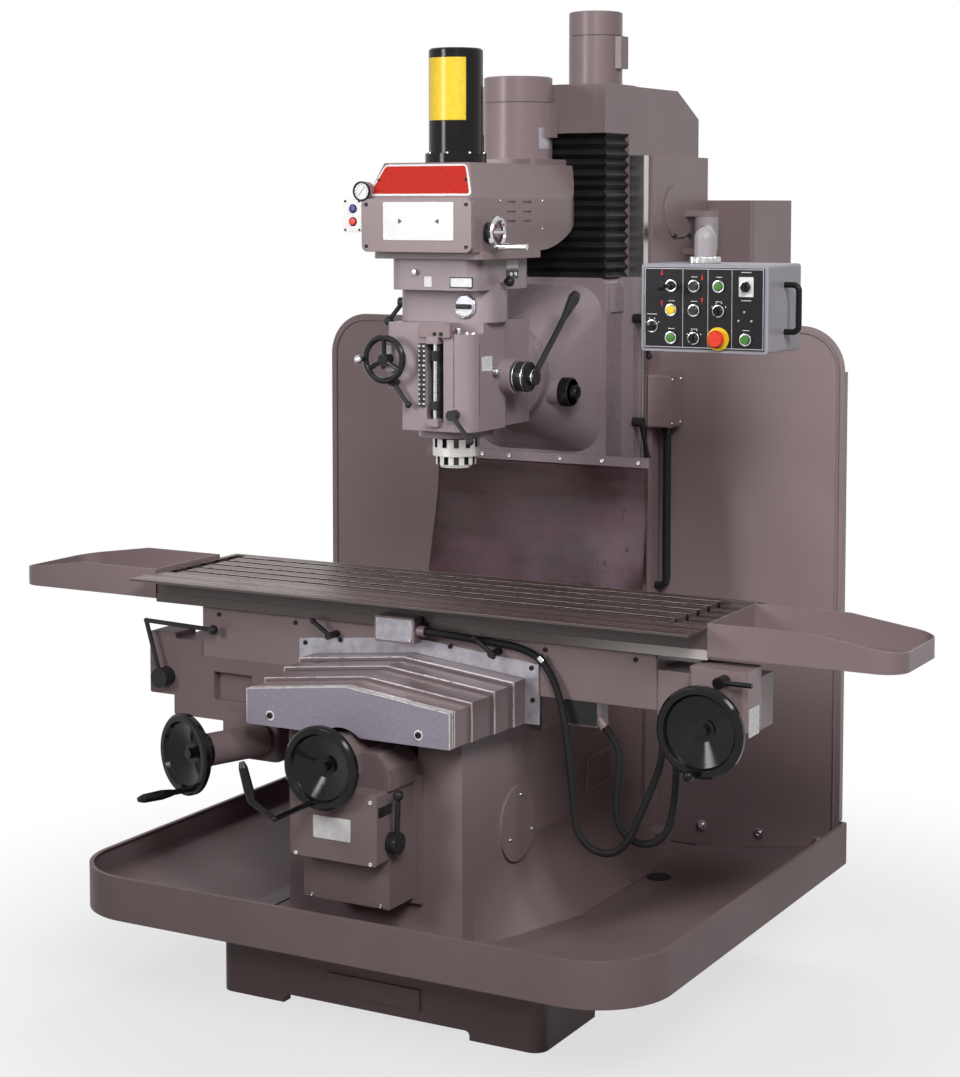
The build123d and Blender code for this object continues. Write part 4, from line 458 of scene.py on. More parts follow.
def table_iron():
    """Streaked top; painted shade on the slot walls; painted highlights on slot lips, edges and towards the front's
    right end.
    """
    f = Finish("table_iron")
    x, y, z = f.axes()
    table_top = corners("table")[1][2]
    streak = f.noise(1.0, 3.0, f.stretched((5, 420, 420)))
    stain = f.noise(5.0, 5.0)
    top = z.rise(table_top - 0.0006, table_top - 0.0002)
    tone = f.mix(streak.rise(0.3, 0.7), (0.100, 0.064, 0.055), (0.170, 0.122, 0.110))
    tone = f.mix(stain.rise(0.45, 0.75) * 0.6, tone, (0.074, 0.050, 0.043))
    tone = f.mix(top, (0.075, 0.055, 0.052), tone)
    across = y - TABLE_Y
    from_slot = abs((across + 2.5 * SLOT_PITCH) % SLOT_PITCH - SLOT_PITCH / 2)
    # Slot lips on the top: painted highlight.
    lip_highlight = (abs(from_slot - SLOT_WIDTH / 2 - 0.0012) < 0.0014) * top
    inside = (from_slot < SLOT_WIDTH / 2 + 0.0001) * (abs(across) < 2.3 * SLOT_PITCH)
    # Slot walls painted near black: painted shade.
    tone = f.mix(inside * (1 - top), tone, (0.010, 0.008, 0.008))
    # Painted highlight on the front face, growing towards its right end.
    strip = (y < -0.5965) * (z < 0.9585) * x.rise(0.35, 0.80)
    tone = f.mix(strip, tone, (0.50, 0.46, 0.44))
    tone = f.mix(lip_highlight * f.noise(60.0, 2.0).rise(0.3, 0.5), tone, (0.62, 0.56, 0.52))
    # Edges painted paler, but not on the slot walls: painted highlight.
    f.set({
        "Base Color": f.mix(f.edge(0.0015) * 0.6 * (1 - inside), tone, (0.55, 0.50, 0.47)),
        "Metallic": top * 0.65 + 0.1,
        "Roughness": streak * 0.16 + stain * 0.14 + 0.24,
        "Normal": f.bump(streak, 0.00004, 0.0012),
    })


table_iron()
print("table iron ready")

# %% [markdown]
# ## Finishes of the CAD nodes
# Most solids already have the right shape and only need a finish. The glTF import gave every node a plain
# material, and its slot takes the better one.


# %% Give the nodes their finishes
def dress(node, finish):
    """Puts a finish on a CAD node in place of its plain one."""
    nodes[node].data.materials.clear()
    nodes[node].data.materials.append(FINISHES[finish])


for finish, names in {
    "machine_paint": "bed top_housing electrical_cabinet saddle belt_housing",
    # The head and carriage take the paler, bluer enamel: painted light.
    "lit_head_paint": "carriage head_casting",
    # The low castings get the darker enamel: painted shade.
    "base_paint": "base_casting chip_pan y_gearbox x_drive_left",
    "sheet_paint": "splash_guards chip_trays",
    "leaf_paint": "cover_leaf_1 cover_leaf_2 cover_leaf_3",
    "motor_paint": "z_motor spindle_motor",
    "arm_paint": "control_arm",
    "table_iron": "table",
    "bright_steel": "z_screw y_screw x_screw spindle",
    "pale_metal": "cover_hood",
    "chrome": "speed_crank",
    "black_handle": "joystick selector_upper selector_lower rotary_switch",
    "black_oxide": "carriage_lock_upper carriage_lock_lower quill_lever quill_lock table_lock_left table_lock_right "
    "x_feed_lever y_feed_lever feed_trip_lever brake_lever",
    "black_gloss": "drawbar_cover x_wheel_left",
    "red_cap": "e_stop",
    "green_cap": "start_button",
    "dark_cap": "up_button down_button",
}.items():
    for name in names.split():
        dress(name, finish)
    print(finish, "on", names)

# %% [markdown]
# ## Hanging conduits
# Two ribbed conduits hang from the saddle: a long one from the box under the table, and a short one from the box
# beside it, both up into the right gearbox. Each is a smooth spline through the air. The tube is a circle carried
# along it, whose radius goes up and down with the ribs.

# %% Conduits
CONDUIT_RADIUS = 0.0095
RIB_PITCH = 0.0058
RIB_DEPTH = 0.0014


def spline_points(name, route):
    """Points of the smooth spline that has the route's points as its control points."""
    curve = bpy.data.curves.new(name, "CURVE")
    curve.dimensions = "3D"
    spline = curve.splines.new("NURBS")
    spline.points.add(len(route) - 1)
    spline.points.foreach_set("co", np.column_stack([route, np.ones(len(route))]).ravel())
    spline.order_u = 3
    spline.use_endpoint_u = True
    spline.resolution_u = 32
    holder = bpy.data.objects.new(name, curve)
    line = bpy.data.meshes.new_from_object(holder)
    points = np.zeros(len(line.vertices) * 3)
    line.vertices.foreach_get("co", points)
    bpy.data.objects.remove(holder)
    bpy.data.meshes.remove(line)
    bpy.data.curves.remove(curve)
    return points.reshape(-1, 3)


def ribbed(path, radius):
    """Closed tube whose radius dips between ribs: r = radius - depth * (0.5 - 0.5 cos) squared. Also its length."""
    steps = np.linalg.norm(np.diff(path, axis=0), axis=1)
    reached = np.concatenate([[0], np.cumsum(steps)])
    distance = np.linspace(0, reached[-1], int(reached[-1] / (RIB_PITCH / 6)) + 2)
    line = np.column_stack([np.interp(distance, reached, path[:, i]) for i in range(3)])
    wave = 0.5 - 0.5 * np.cos(2 * np.pi * distance / RIB_PITCH)
    return closed(carried(line, radius - RIB_DEPTH * wave**2, 18)), reached[-1]


LOOP_ROUTE = [
    (0.0515, -0.6225, 0.937), (0.0975, -0.6225, 0.937), (0.1515, -0.607, 0.929), (0.2115, -0.593, 0.922),
    (0.2915, -0.591, 0.918), (0.3575, -0.593, 0.895), (0.4015, -0.599, 0.835), (0.4275, -0.606, 0.750),
    (0.4425, -0.610, 0.650), (0.4515, -0.610, 0.555), (0.4595, -0.610, 0.490), (0.5015, -0.610, 0.448),
    (0.5605, -0.610, 0.448), (0.6025, -0.610, 0.490), (0.6225, -0.600, 0.547), (0.6465, -0.582, 0.617),
    (0.664, -0.560, 0.683), (0.664, -0.560, 0.748),
]
BRANCH_ROUTE = [
    (0.512, -0.560, 0.738), (0.549, -0.560, 0.701), (0.551, -0.562, 0.640), (0.546, -0.566, 0.575),
    (0.548, -0.572, 0.515), (0.589, -0.578, 0.474), (0.646, -0.576, 0.474), (0.687, -0.568, 0.515),
    (0.693, -0.554, 0.598), (0.690, -0.540, 0.676), (0.690, -0.540, 0.748),
]
for name, route in (("conduit_loop", LOOP_ROUTE), ("conduit_branch", BRANCH_ROUTE)):
    path = spline_points(name, route)
    tube, length = ribbed(path, CONDUIT_RADIUS)
    hose = show(name + "_hose", tube, "black_rubber", "saddle", smooth=80)
    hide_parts(name)
    print(name, round(length, 3), "m")

# %% [markdown]
# ## Way bellows
# Black bellows keep chips off the upper ways. They are one folded skin round three sides of the column's front.
# Each level of the skin is the same outline, set in by a depth that swings between ridge and valley, so one zigzag
# of the height makes all the folds and mitres the corners too.

# %% Bellows
FOLDS, FOLD_DEPTH = 14, 0.013


def folded(low, high, level):
    """Three sides of a box at each level, from 0 to 1. The sides and the front are set in by a softened zigzag."""
    phase = np.abs(2 * ((level * FOLDS) % 1) - 1)
    inset = 0.0005 + FOLD_DEPTH * (1 - (0.82 * phase + 0.18 * np.sin(phase * np.pi / 2) ** 2))
    left, right, front, back = low[0] + inset, high[0] - inset, low[1] + inset, np.full_like(inset, high[1])
    corner = np.array([(left, back), (left, front), (right, front), (right, back)])[..., None]
    runs = corner[:-1] + (corner[1:] - corner[:-1]) * np.linspace(0, 1, 9)
    x, y = np.concatenate(runs, -1)
    level = level[:, None]
    slump = 0.0014 * np.sin(9 * x + 40 * level) * np.sin(np.pi * level)
    return np.stack([x, y, low[2] + (high[2] - low[2]) * level + slump], -1)


low, high = corners("bellows")
skin = folded(low, high, np.linspace(0, 1, FOLDS * 8 + 1))
bellows = show("bellows_skin", closed(skin), "bellows_skin", None, smooth=20)
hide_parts("bellows")
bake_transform(bellows)
print("bellows", skin.shape)

# %% [markdown]
# ## Apron
# A rubber apron hangs from a bar under the carriage and guards the lower ways. It has taken a set: below the bar it
# bows forward, its side edges curl a little, and it is not quite flat anywhere. So it is a sheet of points with a
# bowed profile, a curl at both edges and a few shallow waves, thickened afterwards.

# %% Apron
APRON_BOW = [(0.0, -0.066), (0.10, -0.058), (0.30, -0.043), (0.52, -0.022), (0.70, -0.008), (1.0, 0.0)]
APRON_THICKNESS = 0.003


def apron_rubber():
    """Wine-brown rubber with bands that run across, and a painted lilac sheen in patches low down and at the right."""
    f = Finish("apron_rubber")
    x, _, z = f.axes()
    bands = f.noise(1.0, 4.0, f.stretched((3, 3, 15)))
    blotch = f.noise(5.0, 5.0)
    # Painted sheen: pale lilac patches towards the right and the bottom.
    pale = x.rise(-0.15, 0.34) * 0.7 + (1 - z.rise(1.0, 1.22)) * 0.5
    tone = f.mix(bands.rise(0.35, 0.7), (0.024, 0.009, 0.008), (0.062, 0.027, 0.031))
    tone = f.mix(blotch.rise(0.35, 0.65) * pale, tone, (0.110, 0.064, 0.084))
    scuffs = f.noise(60.0, 2.0, f.stretched((1, 1, 0.3))).rise(0.68, 0.74)
    f.set({
        "Base Color": f.mix(scuffs * 0.7, tone, (0.014, 0.008, 0.009)),
        "Roughness": bands * 0.2 + blotch * 0.2 + 0.24,
        "Specular IOR Level": 0.15,
        "Normal": f.bump(blotch + bands, 0.0026),
    })


def hung_sheet(low, high):
    """Sheet of points in a box: y = bow by height + curl of the sixth power at the edges + two waves; x flares."""
    across, down = np.meshgrid(np.linspace(0, 1, 65), np.linspace(0, 1, 49))
    bow = np.interp(1 - down[:, 0], *np.transpose(APRON_BOW))
    bow = np.convolve(np.pad(bow, 4, mode="edge"), np.ones(9) / 9, "valid")[:, None]
    curl = 0.010 * down**1.5 * np.abs(2 * across - 1) ** 6
    waves = 0.0035 * down * np.sin(7.0 * across + 2.2 * down) + 0.0015 * down * np.sin(19 * across - 7 * down + 1.0)
    flare = (across - 0.5) * 0.018 * down
    return np.stack([
        low[0] + (high[0] - low[0]) * across + flare,
        (low[1] + high[1]) / 2 + bow + curl + waves,
        high[2] - (high[2] - low[2]) * down,
    ], -1)


apron_rubber()
low, high = corners("apron")
apron = show("apron_sheet", hung_sheet(low, high), "apron_rubber", None, smooth=60, close_columns=False)
thick = apron.modifiers.new("thickness", "SOLIDIFY")
thick.thickness = APRON_THICKNESS
thick.offset = 0
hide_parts("apron")
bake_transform(apron)
print("apron", [round(v, 3) for v in high - low])

# %% [markdown]
# ## Fittings
# Screws, plates and rings come by the dozen. Each kind is one small grid of points, set down wherever a place is
# given by a point and the direction its face looks. All plates are bare.

# %% Directions and places
FRONT, RIGHT, LEFT, TOP = (0, -1, 0), (1, 0, 0), (-1, 0, 0), (0, 0, 1)


def axes_from(normal):
    """Right, up and outward directions of a face that looks along its normal."""
    normal = np.array(normal, float) / np.linalg.norm(normal)
    right = np.cross((0, 1, 0) if normal[2] > 0.99 else (0, 0, 1), normal)
    right /= np.linalg.norm(right)
    return right, np.cross(normal, right), normal


def facing(points, normal):
    """Places on a face: each point with the face's right, up and outward directions."""
    return [(point, *axes_from(normal)) for point in points]


def clockwise(centre, radius, degrees):
    """Places round a centre on a front face: each looks outward at its angle from upright."""
    turn = np.radians(degrees)
    ways = np.stack([np.sin(turn), 0 * turn, np.cos(turn)], -1)
    return [(np.array(centre) + way * radius, np.cross(way, FRONT), way, FRONT) for way in ways]


def corner_spots(centre, size, normal, inset):
    """Four points inside the corners of a plate: half its size less the inset, to both sides and up and down."""
    right, above, _ = axes_from(normal)
    x, y = np.array(size) / 2 - inset
    return [np.array(centre) + right * sx * x + above * sy * y for sx in (-1, 1) for sy in (-1, 1)]


print("front face", axes_from(FRONT))


# %% Screws, plates, rings and caps
def screws(name, points, normal, radius, finish, body):
    """Socket screws: a turned head with a bevelled edge and a hollow in its middle."""
    profile = [(1, -1), (1, 0.5), (0.85, 0.7), (0.5, 0.7), (0.46, 0.2), (0, 0.2)]
    show(name, turned(radius * np.array(profile), 16), finish, body, facing(points, normal))


def tiles(name, points, normal, size, finish, body, thickness=0.001, radius=0.003, slot=None):
    """Flat plates of one size with bevelled edges, set on a face."""
    show(name, plate(*size, radius, slab(thickness)), finish, body, facing(points, normal), slot)


def rings(name, points, normal, inner, outer, height, finish, body):
    """Flat rings with a rounded crest."""
    crest, shoulder = ((inner + outer) / 2, height), 0.7 * height
    profile = [(inner, -0.0005), (inner, shoulder), crest, (outer, shoulder), (outer, -0.0005)]
    show(name, turned(profile, 40), finish, body, facing(points, normal))


def caps(name, points, normal, radius, height, finish, body, slot=None):
    """Round caps with a domed face: the dome is a quarter of an ellipse."""
    angle = np.linspace(0, np.pi / 2, 6)
    dome = np.stack([radius * (0.8 + 0.2 * np.cos(angle)), height * (0.75 + 0.25 * np.sin(angle))], -1)
    profile = [(radius, -0.0005), *dome, (0, height)]
    show(name, turned(profile, 32), finish, body, facing(points, normal), slot)


print("fittings ready")

# %% [markdown]
# ## Belt housing and drawbar
# The plate on the crown is a red field with a white border and round corners. It is a rectangle of points whose
# width is scaled with its height, laid on the slope of the crown. The gauge has a dial of small ticks and a needle.

# %% Plates of the belt housing
COVER_Y = -0.580
INFO, INFO_SIZE = np.array([0.007, COVER_Y, 1.943]), (0.200, 0.094)
tiles("info_plate", [INFO], FRONT, INFO_SIZE, "white_plate", "head", 0.002)
spots = corner_spots(INFO - (0, 0.002, 0), INFO_SIZE, FRONT, 0.006)
screws("info_plate_screws", spots, FRONT, 0.0034, "chrome", "head")
spots = corner_spots((0, COVER_Y, 1.9325), (0.312, 0.131), FRONT, 0.014)
screws("belt_cover_screws", spots, FRONT, 0.0046, "black_oxide", "head")
arrow = turned([(0.0075, 0), (0.0075, 0.0006), (0, 0.0006)], 3)
places = [((x, COVER_Y - 0.002, 1.943), (side, 0, 0), (0, 0, side), FRONT) for x, side in ((-0.045, 1), (0.062, -1))]
show("info_arrows", arrow, "dark_cap", "head", places)

CROWN_SIZE = (0.266, 0.086)
crown_low, crown_high = np.array([0, -0.566, 2.000]), np.array([0, -0.526, 2.087])
slope = (crown_high - crown_low) / np.linalg.norm(crown_high - crown_low)
crown_out = np.cross((1, 0, 0), slope)
crown = (crown_low + crown_high) / 2
for name, inset, lift, finish in (("crown_border", 0.0, 0.0020, "white_plate"),
                                  ("crown_field", 0.0055, 0.0028, "red_plate")):
    grid = plate(CROWN_SIZE[0] - 2 * inset, CROWN_SIZE[1] - 2 * inset, 0.012 - inset, slab(lift))
    grid[..., 0] *= 1 - 0.25 * grid[..., 1] / CROWN_SIZE[1]
    show(name, grid, finish, "head", [(crown, (1, 0, 0), slope, crown_out)])
spots = [crown + crown_out * 0.0028 + (x, 0, 0) for x in (-0.124, 0.124)]
screws("crown_screws", spots, crown_out, 0.0036, "black_oxide", "head")
spots = [(0.150, y, z) for y in (-0.423, -0.196) for z in (1.9935, 1.9215)]
screws("louver_screws", spots, RIGHT, 0.0036, "chrome", "head")
print("belt housing plates ready")

# %% Air box and gauge
AIR_BOX, AIR_BOX_SIZE = np.array([-0.182, COVER_Y, 1.9565]), (0.052, 0.082)
tiles("air_box_face", [AIR_BOX], FRONT, AIR_BOX_SIZE, "white_plate", "head", 0.0016)
spots = corner_spots(AIR_BOX - (0, 0.0016, 0), AIR_BOX_SIZE, FRONT, 0.0055)
screws("air_box_screws", spots, FRONT, 0.003, "black_oxide", "head")
for name, finish, z in (("air_on", "blue_cap", 1.9735), ("air_off", "red_cap", 1.9415)):
    spot = [(-0.180, COVER_Y - 0.0016, z)]
    rings(name + "_ring", spot, FRONT, 0.0088, 0.0112, 0.002, "black_oxide", "head")
    caps(name + "_cap", spot, FRONT, 0.0088, 0.005, finish, "head")
GAUGE = np.array([-0.156, -0.579, 2.0167])
caps("gauge_dial", [GAUGE], FRONT, 0.0215, 0.0008, "white_plate", "head")
rings("gauge_rim", [GAUGE], FRONT, 0.0205, 0.0248, 0.004, "black_gloss", "head")
tick = plate(0.0011, 0.0042, 0.0004, slab(0.0003, 0.0001))
show("gauge_ticks", tick, "dark_cap", "head", clockwise(GAUGE - (0, 0.001, 0), 0.0158, np.arange(-135, 136, 27)))
way = np.array([0.64, 0, 0.77])
needle = plate(0.0012, 0.026, 0.0005, slab(0.0005, 0.0001))
show("gauge_needle", needle, "dark_cap", "head", [(GAUGE - (0, 0.0011, 0), np.cross(way, FRONT), way, FRONT)])
print("gauge ready")


# %% Drawbar tube and motor plate
def wrapped(axis_xy, radius, angles, heights, thickness):
    """Plate bent round an upright cylinder: angle from the front, positive to the right."""
    turn, z = np.meshgrid(np.radians(np.linspace(*angles, 24)), np.array(heights))
    inner, outer = (np.stack([axis_xy[0] + r * np.sin(turn), axis_xy[1] - r * np.cos(turn), z], -1)
                    for r in (radius, radius + thickness))
    return np.stack([inner[0], outer[0], outer[1], inner[1]])


DRAWBAR, MOTOR = (0.0, -0.380), (0.0, -0.046)
for name, axis, radius, angles, heights, lift, finish in (
    ("drawbar_plate", DRAWBAR, 0.0685, (-45, 51), (2.194, 2.350), 0.0006, "yellow_plate"),
    ("motor_plate", MOTOR, 0.0905, (64, 96), (2.130, 2.185), 0.0010, "pale_metal"),
):
    bent = wrapped(axis, radius, angles, heights, lift)
    show(name, bent, finish, "head", slot="panel_grey", close_rows=True, close_columns=False)
turns = np.radians(np.arange(8) * 45 + 12)
spots = [(DRAWBAR[0] + 0.0735 * np.sin(t), DRAWBAR[1] - 0.0735 * np.cos(t), 2.112) for t in turns]
screws("drawbar_bolts", spots, TOP, 0.0044, "chrome", "head")
print("drawbar ready")

# %% [markdown]
# ## Head
# The quill head shows its travel on a scale: a dark strip with white marks at both edges, longer at every fourth. Next
# to it a bright stop rod with two black nuts stands in a channel, whose back is a black tile of painted shade.

# %% Gear housing fittings
GEAR_Y = -0.500
tiles("gear_plate_small", [(-0.012, GEAR_Y, 1.7925)], FRONT, (0.022, 0.026), "white_plate", "head")
tiles("gear_plate_back", [(0.083, GEAR_Y, 1.7915)], FRONT, (0.066, 0.027), "dark_cap", "head")
tiles("gear_plate_face", [(0.083, GEAR_Y - 0.001, 1.7915)], FRONT, (0.061, 0.022), "white_plate", "head", 0.0004)
caps("oil_fitting", [(-0.047, GEAR_Y, 1.8156)], FRONT, 0.0075, 0.012, "chrome", "head")
tiles("gear_side_plate", [(0.128, -0.318, 1.8335)], RIGHT, (0.062, 0.020), "white_plate", "head")
tiles("gear_side_switch", [(0.128, -0.318, 1.8083)], RIGHT, (0.062, 0.022), "dark_cap", "head", 0.002)
spots = [(0.130, y, 1.8083) for y in (-0.330, -0.306)]
caps("gear_side_caps", spots, RIGHT, 0.0052, 0.004, "white_plate", "head")
SELECTOR = np.array([0.064, -0.450, 1.7305])
rings("selector_ring", [SELECTOR + (0, 0.004, 0)], FRONT, 0.0262, 0.0305, 0.005, "chrome", "head")
caps("selector_dial", [SELECTOR], FRONT, 0.026, 0.0008, "pale_metal", "head")
print("gear housing ready")

# %% Scale and stop rod
HEAD_Y = -0.514
SCALE = np.array([-0.0185, HEAD_Y - 0.006, 1.5605])
tiles("scale_strip", [SCALE], FRONT, (0.019, 0.159), "dark_cap", "head", 0.0006, 0.001)
heights = np.arange(-0.072, 0.0721, 0.012)
for name, edge, long in (("scale_marks_left", -1, 0.0050), ("scale_marks_right", 1, 0.0075)):
    reaches = np.where(np.arange(len(heights)) % 4 == 0, long, long * 0.7)
    marks = [plate(reach, 0.0042, 0.0003, slab(0.0003, 0.0001)) for reach in reaches]
    spots = [SCALE + (edge * (0.0092 - reach / 2), -0.0006, height) for reach, height in zip(reaches, heights)]
    show(name, marks, "white_plate", "head", facing(spots, FRONT))
# A black tile at the back of the channel: painted shade.
tiles("channel_shade", [(0.016, HEAD_Y + 0.022, 1.545)], FRONT, (0.047, 0.205), "dark_cap", "head", 0.0006, 0.001)
ROD = [((0.015, HEAD_Y + 0.004, 0), *UPRIGHT)]
show("stop_rod", turned([(0.0066, 1.4515), (0.0066, 1.6385)], 24), "bright_steel", "head", ROD)
for name, low, high, radius in (("stop_nut_upper", 1.596, 1.622, 0.0135), ("stop_nut_lower", 1.474, 1.496, 0.0125)):
    nut = turned([(0.006, low), (radius, low), (radius, high), (0.006, high)], 40)
    nut[1:3, ::2, :2] *= 0.955
    show(name, nut, "black_oxide", "head", ROD)
tiles("top_clamp", [(0.022, HEAD_Y, 1.672)], FRONT, (0.086, 0.034), "machine_paint", "head", 0.012)
spots = [(x, HEAD_Y - 0.012, 1.664) for x in (0.022, 0.040)]
screws("top_clamp_screws", spots, FRONT, 0.005, "black_oxide", "head")
print("scale marks", 2 * len(heights))

# %% Feed sleeve and side fittings
sleeve = turned([(0.0342, -0.001), (0.0352, 0.001), (0.0352, 0.014), (0.033, 0.0158), (0.02, 0.0160)], 60)
sleeve[1:3, ::2, :2] *= 0.975
show("feed_sleeve", sleeve, "black_handle", "head", facing([(-0.107, HEAD_Y, 1.599)], FRONT))
tiles("side_plate", [(0.118, -0.432, 1.588)], RIGHT, (0.052, 0.036), "white_plate", "head")
caps("side_fitting", [(0.118, -0.400, 1.566)], RIGHT, 0.009, 0.016, "chrome", "head")
caps("head_oil_cup", [(0.062, -0.478, 1.664)], TOP, 0.009, 0.014, "chrome", "head")
screws("head_top_screws", [(x, -0.480, 1.664) for x in (0.088, 0.106)], TOP, 0.006, "chrome", "head")
tick = plate(0.0012, 0.008, 0.0004, slab(0.0004, 0.0001))
marks = clockwise((0, -0.1467, 1.544), 0.131, np.linspace(-60, 60, 25))
show("swivel_marks", tick, "white_plate", "carriage", marks)
print("swivel marks", len(marks))

# %% [markdown]
# ## Pendant
# The panel is a black face with a bright frame and three dividing lines. Chrome rings lie on the bezels, and coloured
# caps cover the fixed ones. The rotary switch has a white square plate with a hole: a square of points joined to a
# circle of as many points, each at the same angle.

# %% Panel
PANEL_Y = -0.500
BEZEL_Y = PANEL_Y - 0.0035
COLUMNS, ROWS = (0.650, 0.708, 0.770, 0.838), (1.794, 1.737, 1.672)
KNOB = (0.600, PANEL_Y, 1.698)
left, right, low, high = 0.579, 0.883, 1.647, 1.837
middle_x, middle_z = (left + right) / 2, (low + high) / 2
for name, spots, size, radius in (
    ("panel_lines", [(x, PANEL_Y, middle_z) for x in (0.679, 0.7425, 0.8026)], (0.0020, high - low - 0.006), 0.0004),
    ("panel_frame_sides", [(x, PANEL_Y, middle_z) for x in (left + 0.003, right - 0.003)], (0.0024, high - low - 0.002),
     0.0006),
    ("panel_frame_ends", [(middle_x, PANEL_Y, z) for z in (low + 0.003, high - 0.003)], (right - left - 0.006, 0.0024),
     0.0006),
):
    tiles(name, spots, FRONT, size, "pale_metal", "control_box", 0.0007, radius)
bezels = [(0, 0), (0, 1), (0, 2), (1, 0), (1, 1), (1, 2), (2, 0), (2, 1), (3, 0), (3, 2)]
spots = [(COLUMNS[c], BEZEL_Y, ROWS[r]) for c, r in bezels]
rings("bezels", spots, FRONT, 0.0107, 0.0146, 0.0022, "chrome", "control_box")
for name, finish, c, r in (("yellow_fixed", "yellow_cap", 0, 1), ("green_fixed", "green_cap", 0, 2),
                           ("green_lamp", "green_cap", 2, 0)):
    caps(name, [(COLUMNS[c], BEZEL_Y, ROWS[r])], FRONT, 0.0104, 0.0065, finish, "control_box")
stop_spot = [(COLUMNS[2], PANEL_Y - 0.003, ROWS[2])]
rings("stop_ring", stop_spot, FRONT, 0.0112, 0.0274, 0.0016, "yellow_cap", "control_box")
caps("pot_knob", [KNOB], FRONT, 0.0115, 0.013, "black_handle", "control_box")
rings("pot_ring", [KNOB], FRONT, 0.0118, 0.0150, 0.0016, "chrome", "control_box")
lamps = [(0.834, PANEL_Y, 1.736), (0.820, PANEL_Y, 1.7155), (0.852, PANEL_Y, 1.7155)]
caps("panel_lamps", lamps, FRONT, 0.0026, 0.0022, "pale_metal", "control_box")
square = rounded_outline(0.036, 0.046, 0.002, 8)
angle = np.arctan2(square[:, 1], square[:, 0])
hole = 0.0150 * np.column_stack([np.cos(angle), np.sin(angle)])
rows = [np.column_stack([edge, np.full(len(edge), lift)]) for edge, lift in
        ((square, 0), (square, 0.0012), (hole, 0.0012), (hole, 0))]
show("rotary_plate", np.stack(rows), "white_plate", "control_box", facing([(COLUMNS[3], PANEL_Y, ROWS[0])], FRONT))
print("panel controls", len(spots) + len(lamps) + 3)


# %% Pendant collar and box
def pendant_finish():
    """Pale box with a black front and a black handle, told apart by where a point lies; its edges get a painted
    highlight.
    """
    f = Finish("pendant_finish")
    x, y, _ = f.axes()
    cloud = f.noise(30.0, 4.0)
    tone = f.mix(cloud, (0.290, 0.275, 0.310), (0.350, 0.335, 0.370))
    # Edges painted paler: a painted highlight.
    tone = f.mix(f.edge(0.0014) * 0.5, tone, (0.5, 0.48, 0.52))
    f.set({
        "Base Color": f.mix((y < PANEL_Y + 0.0006) | (x > 0.8916), tone, (0.012, 0.011, 0.012)),
        "Roughness": cloud * 0.1 + 0.30,
        "Specular IOR Level": 0.12,
        "Normal": f.bump(f.noise(700.0, 2.0), 0.00006, 0.0012),
    })


pendant_finish()
dress("control_box", "pendant_finish")
collar = turned([(0.0362, 0.001), (0.0372, 0.002), (0.0372, 0.014), (0.0362, 0.0158)], 72)
collar[:, ::3, :2] *= 0.955
show("pendant_collar", collar, "chrome", "control_box", [((0.700, -0.420, 1.845), *UPRIGHT)], smooth=20)
print("pendant ready")

# %% [markdown]
# ## Way cover
# The telescopic cover is a row of roof-shaped leaves. Each has a bright wiper strip along its front edge. A strip
# follows the five corners of the roof, with four points of its cross-section at each corner.

# %% Wiper strips and front plate
COVER_FRONT = corners("cover_front_plate")[0][1]
LEAF_STEP = 0.008


def wiper(grow, front):
    """Strip along the roof's edge, grown outward by a margin: outer and inner corner at two depths."""
    rows = []
    for margin, y in ((0.0007, -0.0007), (0.0007, 0.004), (-0.0016, 0.004), (-0.0016, -0.0007)):
        margin += grow
        half, shoulder, ridge, foot = 0.283 + margin, 0.816 + margin, 0.849 + margin, 0.732
        y += front
        rows.append([(-half, y, foot), (-half, y, shoulder), (0, y, ridge), (half, y, shoulder), (half, y, foot)])
    return np.stack(rows, 1)


strips = []
for step in (1, 2, 3):
    leaf = f"cover_leaf_{step}"
    strips.append((f"wiper_{step}", leaf, LEAF_STEP * step, corners(leaf)[0][1]))
for number, behind in enumerate((0.0, 0.011, 0.021)):
    strips.append((f"wiper_front_{number}", "frame", 0.0, COVER_FRONT + behind))
for name, body, grow, front in strips:
    show(name, wiper(grow, front), "wiper_steel", body, smooth=20)


def plate_finish():
    """Paint on the roof, and on the plate's front face a paler lilac that is painted light."""
    f = Finish("cover_plate_finish")
    speck = f.noise(420.0, 2.0)
    cloud = f.noise(5.0, 4.0)
    pale = f.mix(speck.rise(0.35, 0.65), (0.245, 0.220, 0.275), (0.340, 0.310, 0.375))
    roof = f.mix(cloud, shaded(GREY, 0.8), shaded(GREY, 1.1))
    f.set({
        # The front face's paler lilac is painted light on the lit face.
        "Base Color": f.mix(f.axes()[1] < COVER_FRONT + 0.0005, roof, pale),
        "Roughness": cloud * 0.16 + 0.30,
        "Specular IOR Level": 0.35,
        "Normal": f.bump(speck, 0.00008, 0.001),
    })


plate_finish()
dress("cover_front_plate", "cover_plate_finish")
spots = [(x, COVER_FRONT, 0.7565) for x in (-0.215, 0.200)]
rings("plate_washers", spots, FRONT, 0.0060, 0.0125, 0.0018, "chrome", "frame")
screws("plate_bolts", spots, FRONT, 0.0078, "black_oxide", "frame")
print("wipers", len(strips))

# %% Hood flange and junction boxes
HOOD_Y = corners("cover_hood")[0][1]
HOOD_HOLES = ((0.10, 0.899), (0.22, 0.885), (0.326, 0.868), (0.330, 0.79))
spots = [(side * x, HOOD_Y, z) for side in (-1, 1) for x, z in HOOD_HOLES]
screws("hood_screws", spots, FRONT, 0.006, "black_oxide", "saddle")
BOX, BOX_SIZE = np.array([-0.028, -0.640, 0.9375]), (0.106, 0.056)
tiles("front_box_lid", [BOX], FRONT, BOX_SIZE, "pale_metal", "saddle", 0.002, 0.004, "panel_grey")
spots = corner_spots(BOX - (0, 0.002, 0), BOX_SIZE, FRONT, 0.006)
screws("front_box_screws", spots, FRONT, 0.0036, "chrome", "saddle")
